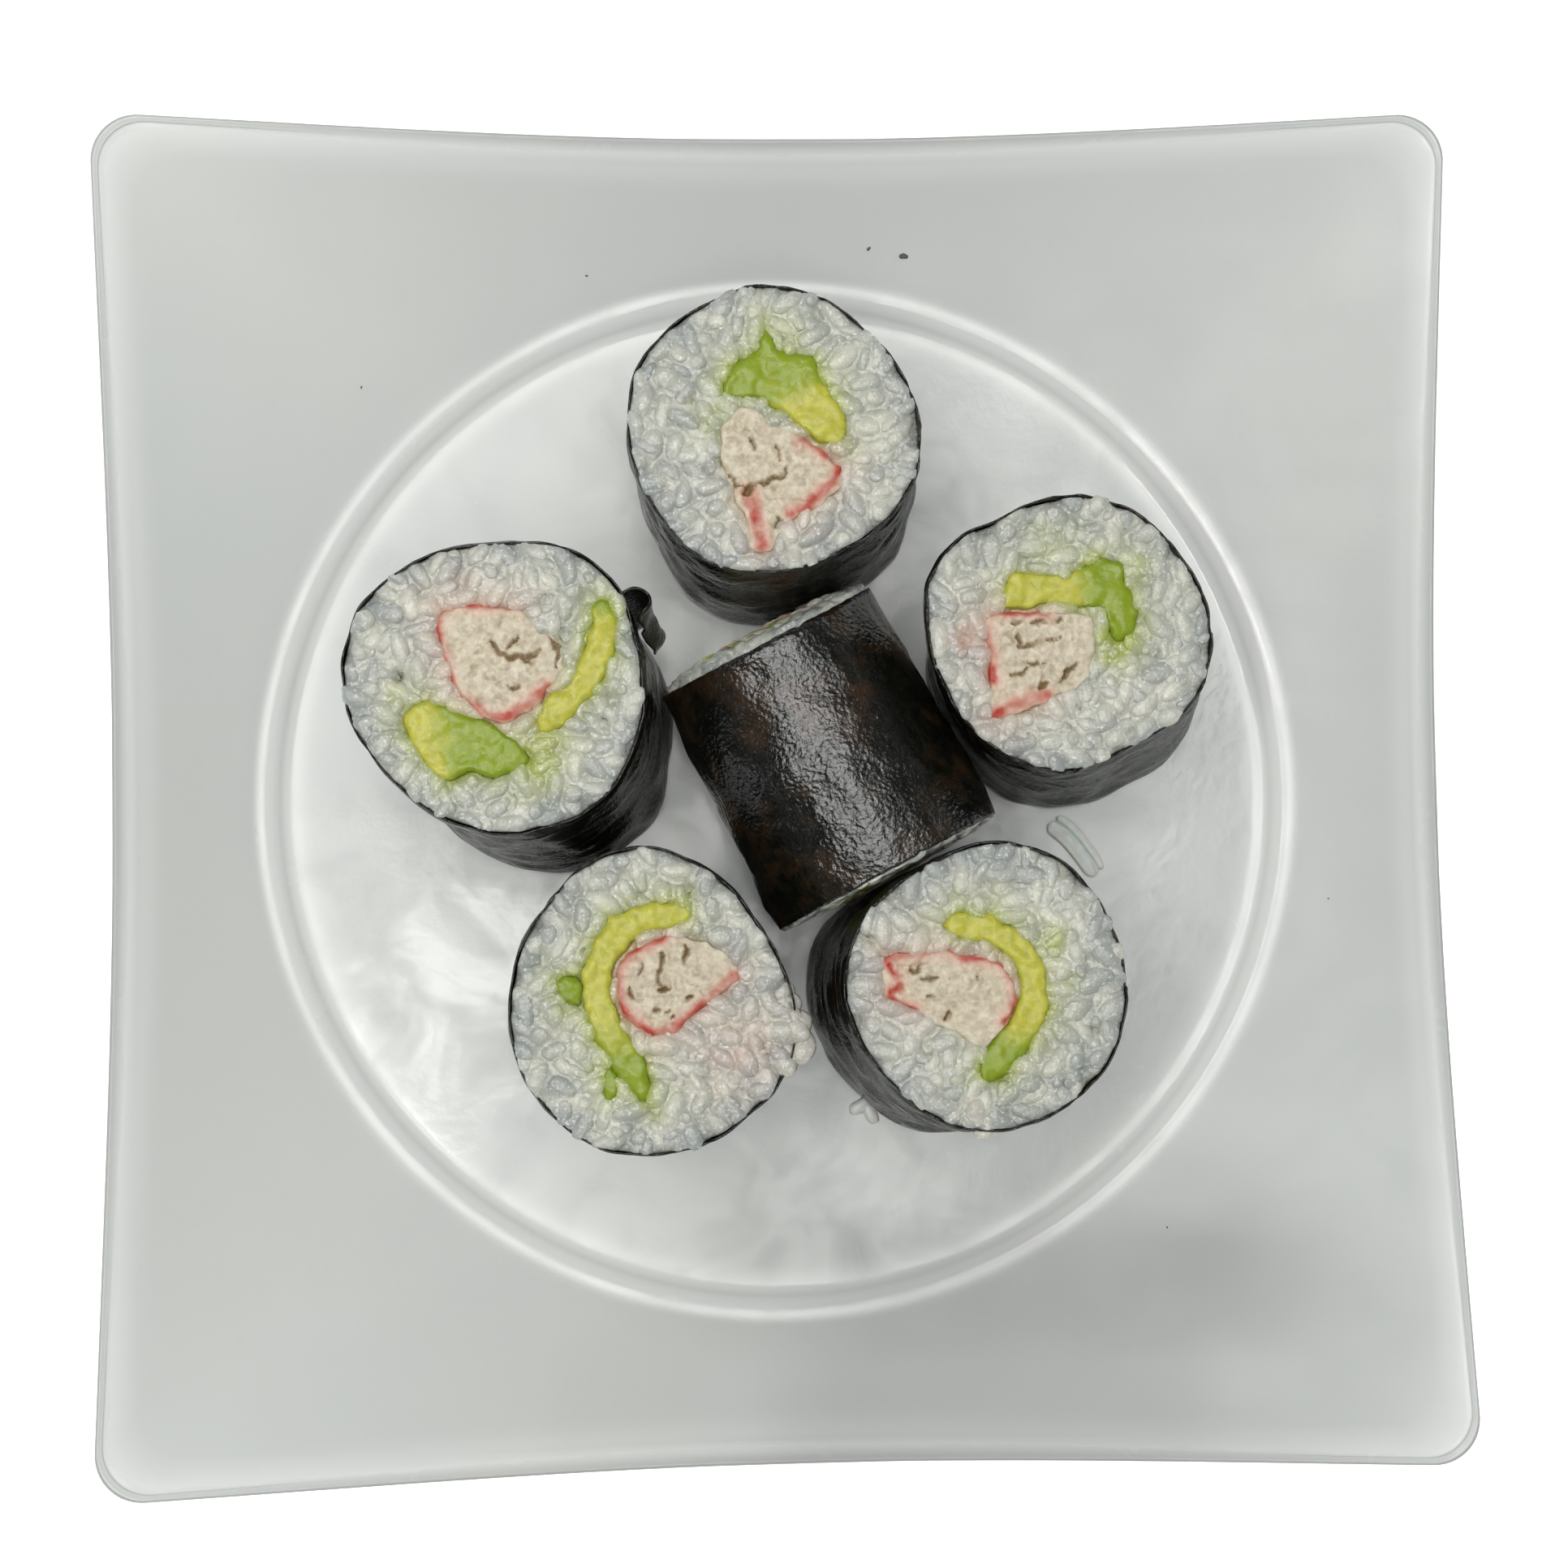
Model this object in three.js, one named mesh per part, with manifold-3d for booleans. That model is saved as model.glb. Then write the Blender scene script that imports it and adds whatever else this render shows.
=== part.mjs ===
// Six pieces of seaweed-wrapped california roll on their square porcelain plate.
// Millimetres, +Z up, origin on the table under the middle of the plate. +Y is the plate's far side.

import * as THREE from "three";
import { mergeVertices } from "three/addons/utils/BufferGeometryUtils.js";
import Module from "manifold-3d";

const wasm = await Module();
wasm.setup();

// Plate: a square dish with a round well, a raised flange and swept-up corners
const PLATE_SIDE = 210;
const PLATE_CORNER_RADIUS = 7.5;
const PLATE_WALL = 4.8;
const SIDE_BOW = 0.8; // how far the middle of each side lies inside the straight line
const WELL_FLAT_RADIUS = 77;
const WELL_RADIUS = 83;
const WELL_FLOOR = 5.5;
const WELL_DEPTH = 2.4;
const WELL_WALL = [[0.3, 0.1], [0.55, 0.5], [0.82, 0.88]]; // [share of its width, share of the depth]
const RIM_RISE_SIDE = 10.1; // height of the rim over the well's edge, at the middle of a side
const RIM_RISE_CORNER = 20.1;
const FLANGE_HOLLOW = 0.25; // share of the rise that comes late, so that the flange is a little hollow
const LIP_WIDTH = 3.2;
const LIP_BEAD = 0.25; // how far the rounded lip stands over the flange
const LIP_DROP = 1.4; // from the lip's top to the plate's outermost edge
const FOOT_RADIUS = 65;
const FOOT_WIDTH = 4;
const FOOT_HEIGHT = 2;
// Directions in which one eighth of the plate is cut, in degrees, close together round the corner
const PLATE_TURNS = [0, 9, 18, 27, 35, 40.5, 42.9, 44];

// Rolls
const ROLL_HEIGHT = 36;
const LYING_LENGTH = 40;
const SEAWEED_THICKNESS = 0.5;
const GAP = 0.3; // between touching pieces
const HOLE_MARGIN = 0.4; // how much wider a hole in the rice is than its filling, all round
const DRILL_SPARE = 3; // how far the cutter of a hole stands out at both ends
const ROUND_STEPS = 28; // corners of a roll's outline
const RICE_SUNK = 1.1; // how far the rice between the grains lies below the seaweed's edge
const FILLING_SUNK = 0.4;
const TIP_ROUND = 0.6; // how far a strip's rounded end stands out, against half its thickness
const FLAP_THICKNESS = 0.8;
const FLAP_HEIGHTS = [0.45, 0.94]; // where the loose end of the sheet starts and stops, as shares

// Rice grains
const GRAIN_LENGTH = 5.8;
const GRAIN_WIDTH = 2.7;
const GRAIN_HEIGHT = 2.3;
const GRAIN_RISE = 0.1; // a grain's middle over the rice between the grains
const GRAIN_SPACING = 4.4;
const GRAIN_SPAN = 0.42; // its tips for the fit, in lengths from its middle
const GRAIN_CLEARANCE = 0.45; // from its middle line to a wall, in widths
const GRAIN_TILT = 0.35; // radians
const GRAIN_TRIES = 260;
const GRAIN_SIDES = 5;
const GRAIN_SEED = 11;

// One roll each. reach is the distance from the middle to the seaweed's outside, every 30 degrees
// anticlockwise from +X, at the upper end. lean is how far the upper end hangs over the lower one.
// foot and waist are the sizes of the lower end and of the middle, against the upper end.
// A filling is given by its outline, or by its middle line and its thickness, across the upper end.
const ROLLS = [
  {
    name: "back_roll",
    at: [-2, 52.8],
    lean: [-2, 4],
    foot: 1.0,
    waist: 0.98,
    reach: [22.3, 21, 21.3, 22.1, 21.9, 22.2, 22, 21, 22.4, 21.4, 20.6, 22.2],
    grains: 20,
    fillings: [
      {
        name: "avocado",
        outline: [
          [-1, 15.5], [0.8, 12], [6, 11.2], [7.4, 7.5], [11, 1], [10, -2.6], [8, -2.2],
          [2.2, 2.6], [-2.6, 5], [-6.8, 5], [-7.5, 7], [-5.5, 10], [-2.8, 11.5],
        ],
      },
      {
        name: "crab",
        outline: [
          [-6, 2.6], [-3, 3.2], [1, 0.6], [4.5, -1.4], [10, -5.6], [9.4, -9], [5, -12],
          [1.5, -14], [-0.8, -17.5], [-3.6, -17.5], [-4.4, -12], [-6.8, -7.5], [-8, -2.5],
        ],
      },
    ],
  },
  {
    name: "left_roll",
    at: [-43.3, 16],
    lean: [-5.2, 6.3],
    foot: 0.98,
    waist: 0.97,
    reach: [21.4, 22.4, 23, 20.8, 21.9, 23.2, 23, 21.4, 21.2, 22.2, 23.1, 22.8],
    flap: [[18.5, 12.7], [20.9, 13.6], [22.3, 12], [21.2, 9.2]],
    grains: 20,
    fillings: [
      {
        name: "avocado_strip",
        line: [[15.6, 11], [16, 7.8], [14.2, 2.4], [10.8, -2.4], [6.6, -6.4]],
        thick: 3.2,
      },
      {
        name: "avocado_block",
        outline: [
          [-13, -5], [-10, -3.2], [-5.5, -4.4], [-1, -7], [2.8, -9], [4.2, -11.5],
          [-0.5, -13.5], [-4.5, -12], [-7, -13.5], [-10.5, -11],
        ],
      },
      {
        name: "crab",
        outline: [
          [-8.4, 10.8], [-2, 11.4], [3, 10.8], [6, 7.4], [9.4, 6], [9.6, 2.5], [8.2, -0.6],
          [4.5, -4], [1, -5.6], [-2, -4.6], [-5.6, -1.8], [-7.4, 4],
        ],
      },
    ],
  },
  {
    name: "right_roll",
    at: [40.8, 22.6],
    lean: [-5.2, 4.2],
    foot: 1.0,
    waist: 0.97,
    reach: [22.1, 20.9, 21, 20.5, 19.6, 22.2, 21.2, 20.2, 21.2, 21, 19.8, 22.2],
    grains: 20,
    fillings: [
      {
        name: "avocado",
        outline: [
          [-9.4, 4], [-8.2, 8.4], [0, 8.4], [3, 10], [8.4, 10.4], [9, 7], [11, 3.4],
          [9, -1.6], [6.6, -1], [6.2, 2.6], [3.6, 3.6], [-5.5, 4],
        ],
      },
      {
        name: "crab",
        outline: [
          [-12.4, 1.4], [-9.5, 2.8], [-2.5, 2.8], [3.6, 2], [4, -3], [3, -6.6], [0, -9],
          [-6, -11.4], [-11.6, -13], [-11.2, -8.5], [-11.6, -2.5],
        ],
      },
    ],
  },
  {
    name: "front_left_roll",
    at: [-21.5, -32],
    lean: [-1.2, 1.4],
    foot: 1.0,
    waist: 0.99,
    reach: [21.6, 20, 21.4, 24.2, 22.6, 20.9, 20.6, 21.2, 21.7, 21.9, 21.5, 22.4],
    grains: 20,
    fillings: [
      {
        name: "avocado",
        line: [
          [5, 13.6], [1, 13.4], [-3.6, 11.8], [-6.4, 8.4], [-7.5, 4], [-7.4, 0], [-5.6, -4],
          [-2.9, -8.5], [-0.8, -12.8],
        ],
        thick: 4.2,
      },
      { name: "avocado_bit_upper", outline: [[-10.4, 5], [-10.2, 0.6], [-12.8, 1.2], [-13.6, 3.8]] },
      { name: "avocado_bit_lower", outline: [[-5.9, -8.4], [-4.5, -12], [-6.3, -13.6], [-7.6, -11]] },
      {
        name: "crab",
        outline: [
          [3, 10.8], [-0.6, 9.2], [-3.6, 7], [-4.8, 3.5], [-4, -0.2], [-1.8, -2.8], [1.5, -4.5],
          [4.5, -2.8], [8.5, 0.5], [13.4, 4.4], [12.4, 7], [8.5, 9],
        ],
      },
    ],
  },
  {
    name: "front_right_roll",
    at: [28.6, -29.8],
    lean: [4, 3],
    foot: 1.0,
    waist: 0.98,
    reach: [20.7, 20.9, 22.2, 21.4, 20, 21.4, 21.3, 20.3, 21, 21.7, 21.2, 21.3],
    grains: 20,
    fillings: [
      {
        name: "avocado",
        line: [
          [-5.6, 9.2], [-1.6, 8.9], [2.6, 7.4], [5.6, 4.4], [6.9, 0.4], [6.2, -4], [4.2, -7.6],
          [1.6, -10.4], [-0.6, -13],
        ],
        thick: 3.9,
      },
      {
        name: "crab",
        outline: [
          [-15.4, 4.4], [-10.5, 5], [-6.6, 5.8], [-3.4, 4.4], [1.4, 3.6], [4, 0.4], [3.7, -3],
          [2, -6.2], [-0.8, -9.2], [-4, -7], [-10.5, -3.6], [-15, -1],
        ],
      },
    ],
  },
];

// The sixth roll lies on its side across the middle. Its far end is at `at`, and it runs from there
// `heading` degrees anticlockwise of straight towards the near side. Its reach starts at its right
// side and goes round over the top.
const LYING_ROLL = {
  name: "middle_roll",
  at: [-3, 23.4],
  heading: 27.3,
  lean: [0, 0],
  foot: 0.94,
  waist: 0.985,
  slants: [0.07, -0.035], // how far each cut end tilts off square
  reach: [19.6, 19.5, 19.2, 19, 19.2, 19.5, 19.7, 19.2, 18.5, 18, 18.5, 19.2],
  grains: 10,
  fillings: [
    { name: "avocado", line: [[-10, -4], [-9.4, 1.5], [-6, 6], [-1, 8.4], [4.5, 8]], thick: 3.6 },
    {
      name: "crab",
      outline: [
        [-6.4, -4], [-6, 1], [-2.6, 4.4], [3, 5], [6.6, 2.2], [7.4, -3], [4, -7.4], [-2, -8],
      ],
    },
  ],
};

// Materials
const finishes = {
  plate: { color: "#e9ebe8", roughness: 0.18, metalness: 0 },
  seaweed: { color: "#1b1916", roughness: 0.5, metalness: 0 },
  rice: { color: "#d7dad4", roughness: 0.4, metalness: 0 },
  crab: { color: "#e8cfc0", roughness: 0.45, metalness: 0 },
  avocado: { color: "#c3cb57", roughness: 0.45, metalness: 0 },
};

// Makes one named piece.
function piece(name, geometry, finish) {
  const mesh = new THREE.Mesh(geometry, new THREE.MeshStandardMaterial(finishes[finish]));
  mesh.name = name;
  return mesh;
}

// Gives repeatable draws between 0 and 1.
function seededDraws(seed) {
  let state = seed;
  return () => {
    state = (state + 0x6d2b79f5) | 0;
    let mixed = Math.imul(state ^ (state >>> 15), 1 | state);
    mixed = (mixed + Math.imul(mixed ^ (mixed >>> 7), 61 | mixed)) ^ mixed;
    return ((mixed ^ (mixed >>> 14)) >>> 0) / 4294967296;
  };
}

// Turns a closed geometry into a solid that can be joined and cut.
function toSolid(geometry) {
  const bare = geometry.clone();
  bare.deleteAttribute("normal");
  bare.deleteAttribute("uv");
  const merged = mergeVertices(bare, 1e-4);
  const vertProperties = new Float32Array(merged.attributes.position.array);
  const triVerts = new Uint32Array(merged.index.array);
  return new wasm.Manifold(new wasm.Mesh({ numProp: 3, vertProperties, triVerts }));
}

// Turns a solid back into a geometry.
function toGeometry(solid) {
  const mesh = solid.getMesh();
  const geometry = new THREE.BufferGeometry();
  geometry.setAttribute("position", new THREE.BufferAttribute(new Float32Array(mesh.vertProperties), 3));
  geometry.setIndex(new THREE.BufferAttribute(new Uint32Array(mesh.triVerts), 1));
  geometry.computeVertexNormals();
  return geometry;
}

// Skins a row of rings that have the same number of points, anticlockwise. A row that comes back to its
// first ring makes a shell. Any other row is closed by a fan at each end.
function loft(rings, comesBack) {
  const count = rings[0].length;
  const points = rings.flat();
  const faces = [];
  const last = comesBack ? rings.length : rings.length - 1;
  for (let row = 0; row < last; row += 1) {
    const low = row * count;
    const high = ((row + 1) % rings.length) * count;
    for (let i = 0; i < count; i += 1) {
      const next = (i + 1) % count;
      faces.push(low + i, low + next, high + next);
      faces.push(low + i, high + next, high + i);
    }
  }
  if (!comesBack) {
    const bottom = points.length;
    points.push(middleOf(rings[0]));
    points.push(middleOf(rings[rings.length - 1]));
    const top = (rings.length - 1) * count;
    for (let i = 0; i < count; i += 1) {
      const next = (i + 1) % count;
      faces.push(bottom, next, i);
      faces.push(bottom + 1, top + i, top + next);
    }
  }
  const geometry = new THREE.BufferGeometry().setFromPoints(points);
  geometry.setIndex(faces);
  geometry.computeVertexNormals();
  return geometry;
}

// Finds the mean of some points.
function middleOf(points) {
  const middle = new THREE.Vector3();
  points.forEach((point) => middle.add(point));
  return middle.divideScalar(points.length);
}

// Distance from the plate's middle to its edge along a direction, in radians.
function plateReach(turn) {
  const half = PLATE_SIDE / 2;
  const along = Math.abs(Math.cos(turn));
  const across = Math.abs(Math.sin(turn));
  const far = Math.max(along, across);
  const near = Math.min(along, across);
  const straight = half / far;
  const cornerMiddle = half - PLATE_CORNER_RADIUS;
  if (straight * near <= cornerMiddle) {
    const bow = SIDE_BOW * Math.cos((Math.PI * straight * near) / PLATE_SIDE) ** 2;
    return straight - bow / far;
  }
  const ahead = cornerMiddle * (far + near);
  return ahead + Math.sqrt(PLATE_CORNER_RADIUS ** 2 - 2 * cornerMiddle ** 2 + ahead ** 2);
}

// Height of the flange's upper face, a share of the way from the well's edge to the rim.
function flangeHeight(turn, share) {
  const half = PLATE_SIDE / 2;
  const cornerReach = half * Math.SQRT2 - (Math.SQRT2 - 1) * PLATE_CORNER_RADIUS;
  const toCorner = THREE.MathUtils.clamp((plateReach(turn) - half) / (cornerReach - half), 0, 1);
  const rise = THREE.MathUtils.lerp(RIM_RISE_SIDE, RIM_RISE_CORNER, toCorner);
  return WELL_FLOOR + WELL_DEPTH + rise * ((1 - FLANGE_HOLLOW) * share + FLANGE_HOLLOW * share ** 2);
}

// All the directions in which the plate is cut, in radians, from one eighth mirrored round.
function plateTurns() {
  const quarter = [...PLATE_TURNS, 45, ...PLATE_TURNS.slice(1).map((turn) => 90 - turn).reverse()];
  const turns = [0, 90, 180, 270].flatMap((start) => quarter.map((turn) => start + turn));
  return turns.map((turn) => THREE.MathUtils.degToRad(turn));
}

// The plate's section in one direction, from the middle of the well out to the rim and back beneath
// to the middle of the underside, as [radius, height] pairs.
function plateSection(turn) {
  const reach = plateReach(turn);
  const width = reach - WELL_RADIUS;
  const wall = WELL_WALL.map(([out, up]) => [
    THREE.MathUtils.lerp(WELL_FLAT_RADIUS, WELL_RADIUS, out),
    WELL_FLOOR + WELL_DEPTH * up,
  ]);
  const onFlange = (share) => [WELL_RADIUS + share * width, flangeHeight(turn, share)];
  const under = (share) => [WELL_RADIUS + share * width, flangeHeight(turn, share) - PLATE_WALL];
  const lip = 1 - LIP_WIDTH / width;
  const rim = flangeHeight(turn, 1);
  return [
    [WELL_FLAT_RADIUS / 2, WELL_FLOOR],
    [WELL_FLAT_RADIUS, WELL_FLOOR],
    ...wall,
    onFlange(0.03),
    onFlange(0.35),
    onFlange(0.7),
    onFlange(lip),
    [reach - 0.55 * LIP_WIDTH, rim + LIP_BEAD],
    [reach - 0.2 * LIP_WIDTH, rim - LIP_BEAD],
    [reach, rim - LIP_DROP],
    [reach - 0.05 * LIP_WIDTH, rim - 0.7 * PLATE_WALL],
    [reach - 0.45 * LIP_WIDTH, rim - PLATE_WALL],
    under(0.55),
    [FOOT_RADIUS + 6, FOOT_HEIGHT + 0.6],
    [FOOT_RADIUS + 1, FOOT_HEIGHT],
    [FOOT_RADIUS, 0],
    [FOOT_RADIUS - FOOT_WIDTH, 0],
    [FOOT_RADIUS - FOOT_WIDTH - 1, FOOT_HEIGHT],
  ];
}

// The plate, in one piece.
function makePlate() {
  const turns = plateTurns();
  const sections = turns.map(plateSection);
  const rings = sections[0].map((_, station) =>
    turns.map((turn, i) => {
      const [radius, height] = sections[i][station];
      return new THREE.Vector3(radius * Math.cos(turn), radius * Math.sin(turn), height);
    }),
  );
  rings.reverse();
  return piece("plate", loft(rings, false), "plate");
}

// The outline across a roll: a closed smooth curve through its reaches, drawn in by an inset.
function rollOutline(roll, inset) {
  const knots = roll.reach.map((reach, i) => {
    const turn = (i * 2 * Math.PI) / roll.reach.length;
    return new THREE.Vector3((reach - inset) * Math.cos(turn), (reach - inset) * Math.sin(turn), 0);
  });
  const curve = new THREE.CatmullRomCurve3(knots, true, "catmullrom", 0.5);
  return curve.getPoints(ROUND_STEPS).slice(0, ROUND_STEPS);
}

// Where a point across the upper end of a roll comes to lie, at a height in the roll.
function settle(roll, x, y, height) {
  const share = height / roll.height;
  const nearMiddle = 4 * share * (1 - share);
  const size = THREE.MathUtils.lerp(roll.foot, 1, share) * (1 - (1 - roll.waist) * nearMiddle);
  return new THREE.Vector3(
    x * size - roll.lean[0] * (1 - share),
    y * size - roll.lean[1] * (1 - share),
    height,
  );
}

// Whether a roll lies on its side, so that both its ends show.
function lies(roll) {
  return roll.heading !== undefined;
}

// Tilts the two ends of a piece of a roll off square, where the roll was cut at a slant.
function slantEnds(roll, geometry) {
  const [low, high] = roll.slants ?? [0, 0];
  const place = geometry.attributes.position;
  for (let i = 0; i < place.count; i += 1) {
    const height = place.getZ(i);
    place.setZ(i, height + place.getY(i) * THREE.MathUtils.lerp(low, high, height / roll.height));
  }
  geometry.computeVertexNormals();
  return geometry;
}

// A ring of a roll at a height.
function rollRing(roll, inset, height) {
  return rollOutline(roll, inset).map((point) => settle(roll, point.x, point.y, height));
}

// The seaweed sheet wrapped round a roll, with the loose end of the sheet where the roll has one.
function makeSeaweed(roll) {
  const heights = [0, roll.height / 2, roll.height];
  const outside = heights.map((height) => rollRing(roll, 0, height));
  const inside = heights.map((height) => rollRing(roll, SEAWEED_THICKNESS, height)).reverse();
  let solid = toSolid(loft([...outside, ...inside], true));
  if (roll.flap) {
    const strip = stripOutline(roll.flap, FLAP_THICKNESS, 0, roll.flap.length + 2);
    const [from, to] = FLAP_HEIGHTS.map((share) => share * roll.height);
    solid = solid.add(toSolid(runThrough(roll, strip, from, to)));
  }
  return piece(`${roll.name}_seaweed`, slantEnds(roll, toGeometry(solid)), "seaweed");
}

// The outline of a strip of even thickness round a middle line, with rounded ends, grown by a margin.
function stripOutline(line, thick, margin, steps) {
  const curve = new THREE.CatmullRomCurve3(line.map(([x, y]) => new THREE.Vector3(x, y, 0)));
  const half = thick / 2 + margin;
  const reach = (thick / 2) * TIP_ROUND + margin;
  const left = [];
  const right = [];
  for (let i = 0; i <= steps; i += 1) {
    const point = curve.getPoint(i / steps);
    const ahead = curve.getTangent(i / steps);
    const tip = i === 0 || i === steps ? TIP_ROUND : 1;
    left.push(new THREE.Vector2(point.x - ahead.y * half * tip, point.y + ahead.x * half * tip));
    right.push(new THREE.Vector2(point.x + ahead.y * half * tip, point.y - ahead.x * half * tip));
  }
  const start = curve.getPoint(0).addScaledVector(curve.getTangent(0), -reach);
  const end = curve.getPoint(1).addScaledVector(curve.getTangent(1), reach);
  const [first, last] = [start, end].map((tip) => new THREE.Vector2(tip.x, tip.y));
  return [first, ...right, last, ...left.reverse()];
}

// The smooth closed outline of a block through its corners, grown by a margin.
function blockOutline(corners, margin) {
  const knots = corners.map(([x, y]) => new THREE.Vector3(x, y, 0));
  const curve = new THREE.CatmullRomCurve3(knots, true, "centripetal");
  const steps = corners.length * 2;
  const outline = [];
  for (let i = 0; i < steps; i += 1) {
    const point = curve.getPoint(i / steps);
    const ahead = curve.getTangent(i / steps);
    outline.push(new THREE.Vector2(point.x, point.y));
    outline[i].out = new THREE.Vector2(ahead.y, -ahead.x);
  }
  const side = THREE.ShapeUtils.area(outline) > 0 ? 1 : -1;
  return outline.map((point) => point.clone().addScaledVector(point.out, side * margin));
}

// The outline of a filling across the upper end of its roll, grown by a margin.
function fillingOutline(filling, margin) {
  if (filling.line) {
    return stripOutline(filling.line, filling.thick, margin, filling.line.length + 2);
  }
  return blockOutline(filling.outline, margin);
}

// A bar of a given outline that runs through a roll between two heights.
function runThrough(roll, outline, from, to) {
  const bar = new THREE.ExtrudeGeometry(new THREE.Shape(outline), {
    depth: to - from,
    steps: 2,
    bevelEnabled: false,
  });
  const place = bar.attributes.position;
  for (let i = 0; i < place.count; i += 1) {
    const spot = settle(roll, place.getX(i), place.getY(i), place.getZ(i) + from);
    place.setXYZ(i, spot.x, spot.y, spot.z);
  }
  return bar;
}

// Signed distance from a point to an outline, positive inside.
function depthInside(outline, x, y) {
  let nearest = Infinity;
  let inside = false;
  outline.forEach((a, i) => {
    const b = outline[(i + 1) % outline.length];
    const runX = b.x - a.x;
    const runY = b.y - a.y;
    const along = ((x - a.x) * runX + (y - a.y) * runY) / (runX ** 2 + runY ** 2);
    const share = THREE.MathUtils.clamp(along, 0, 1);
    nearest = Math.min(nearest, Math.hypot(x - a.x - share * runX, y - a.y - share * runY));
    if (a.y > y !== b.y > y && x < a.x + ((y - a.y) * runX) / runY) {
      inside = !inside;
    }
  });
  return inside ? nearest : -nearest;
}

// Chooses where the grains lie on a cut end: spread on a sunflower spiral, clear of the fillings and of
// the seaweed, and apart from each other.
function grainSpots(roll, draw) {
  const wall = rollOutline(roll, SEAWEED_THICKNESS + 2 * GAP);
  const fillings = roll.fillings.map((filling) => fillingOutline(filling, GAP));
  const goldenTurn = Math.PI * (3 - Math.sqrt(5));
  const clearance = GRAIN_WIDTH * GRAIN_CLEARANCE;
  const spots = [];
  for (let i = 0; i < GRAIN_TRIES && spots.length < roll.grains; i += 1) {
    const radius = Math.max(...roll.reach) * Math.sqrt(1 - i / GRAIN_TRIES);
    const x = radius * Math.cos(i * goldenTurn);
    const y = radius * Math.sin(i * goldenTurn);
    const heading = draw() * Math.PI;
    const ends = [-GRAIN_SPAN, 0, GRAIN_SPAN].map((share) => [
      x + share * GRAIN_LENGTH * Math.cos(heading),
      y + share * GRAIN_LENGTH * Math.sin(heading),
    ]);
    const fits = ends.every(
      ([endX, endY]) =>
        depthInside(wall, endX, endY) > clearance &&
        fillings.every((outline) => depthInside(outline, endX, endY) < -clearance),
    );
    const apart = spots.every((spot) => Math.hypot(spot.x - x, spot.y - y) > GRAIN_SPACING);
    if (fits && apart) {
      spots.push({ x, y, heading, tilt: (draw() - 0.5) * GRAIN_TILT });
    }
  }
  return spots;
}

// The grains that show on one cut end, standing out from the rice. `outward` is 1 at the upper end.
function endGrains(roll, height, outward, draw) {
  return grainSpots(roll, draw).map((spot) => {
    const grain = new THREE.SphereGeometry(0.5, GRAIN_SIDES, 4);
    grain.rotateZ(Math.PI / 2);
    grain.scale(GRAIN_LENGTH, GRAIN_WIDTH, GRAIN_HEIGHT);
    grain.rotateY(spot.tilt);
    grain.rotateZ(spot.heading);
    const middle = settle(roll, spot.x, spot.y, height + outward * GRAIN_RISE);
    grain.translate(middle.x, middle.y, middle.z);
    return toSolid(grain);
  });
}

// The rice of a roll, with a hole for each filling and grains on the ends that show.
function makeRice(roll, draw) {
  const bottom = lies(roll) ? RICE_SUNK : 0;
  const top = roll.height - RICE_SUNK;
  const inset = SEAWEED_THICKNESS + GAP;
  const heights = [bottom, roll.height / 2, top];
  let solid = toSolid(loft(heights.map((height) => rollRing(roll, inset, height)), false));
  roll.fillings.forEach((filling) => {
    const hole = fillingOutline(filling, HOLE_MARGIN);
    solid = solid.subtract(toSolid(runThrough(roll, hole, bottom - DRILL_SPARE, roll.height + DRILL_SPARE)));
  });
  const grains = endGrains(roll, top, 1, draw);
  if (lies(roll)) {
    grains.push(...endGrains(roll, bottom, -1, draw));
  }
  grains.forEach((grain) => {
    solid = solid.add(grain);
  });
  return piece(`${roll.name}_rice`, slantEnds(roll, toGeometry(solid)), "rice");
}

// A filling of a roll, right through it.
function makeFilling(roll, filling) {
  const bottom = lies(roll) ? FILLING_SUNK : 0;
  const bar = runThrough(roll, fillingOutline(filling, 0), bottom, roll.height - FILLING_SUNK);
  return piece(`${roll.name}_${filling.name}`, slantEnds(roll, bar), filling.name.split("_")[0]);
}

// All the pieces of one roll, with the middle of its upper end above the roll's own origin.
function makeRoll(roll, draw) {
  const group = new THREE.Group();
  group.add(makeSeaweed(roll));
  group.add(makeRice(roll, draw));
  roll.fillings.forEach((filling) => group.add(makeFilling(roll, filling)));
  return group;
}

// A roll that stands on the well's floor.
function makeStandingRoll(roll, draw) {
  const group = makeRoll({ ...roll, height: ROLL_HEIGHT }, draw);
  group.position.set(roll.at[0], roll.at[1], WELL_FLOOR + GAP);
  return group;
}

// The roll that lies on its side.
function makeLyingRoll(roll, draw) {
  const inner = makeRoll({ ...roll, height: LYING_LENGTH }, draw);
  inner.rotation.x = Math.PI / 2;
  const outer = new THREE.Group();
  outer.add(inner);
  outer.rotation.z = THREE.MathUtils.degToRad(roll.heading);
  outer.position.set(roll.at[0], roll.at[1], WELL_FLOOR + GAP + roll.reach[9]);
  return outer;
}

const draw = seededDraws(GRAIN_SEED);
const plate = new THREE.Group();
plate.add(makePlate());
ROLLS.forEach((roll) => plate.add(makeStandingRoll(roll, draw)));
plate.add(makeLyingRoll(LYING_ROLL, draw));

export default plate;
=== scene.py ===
"""Dresses the plate of california roll: porcelain, seaweed, rice grains, crab stick and avocado."""

import math

import bmesh
import bpy
import numpy as np
from mathutils import Matrix, Vector
from mathutils.geometry import delaunay_2d_cdt


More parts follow.
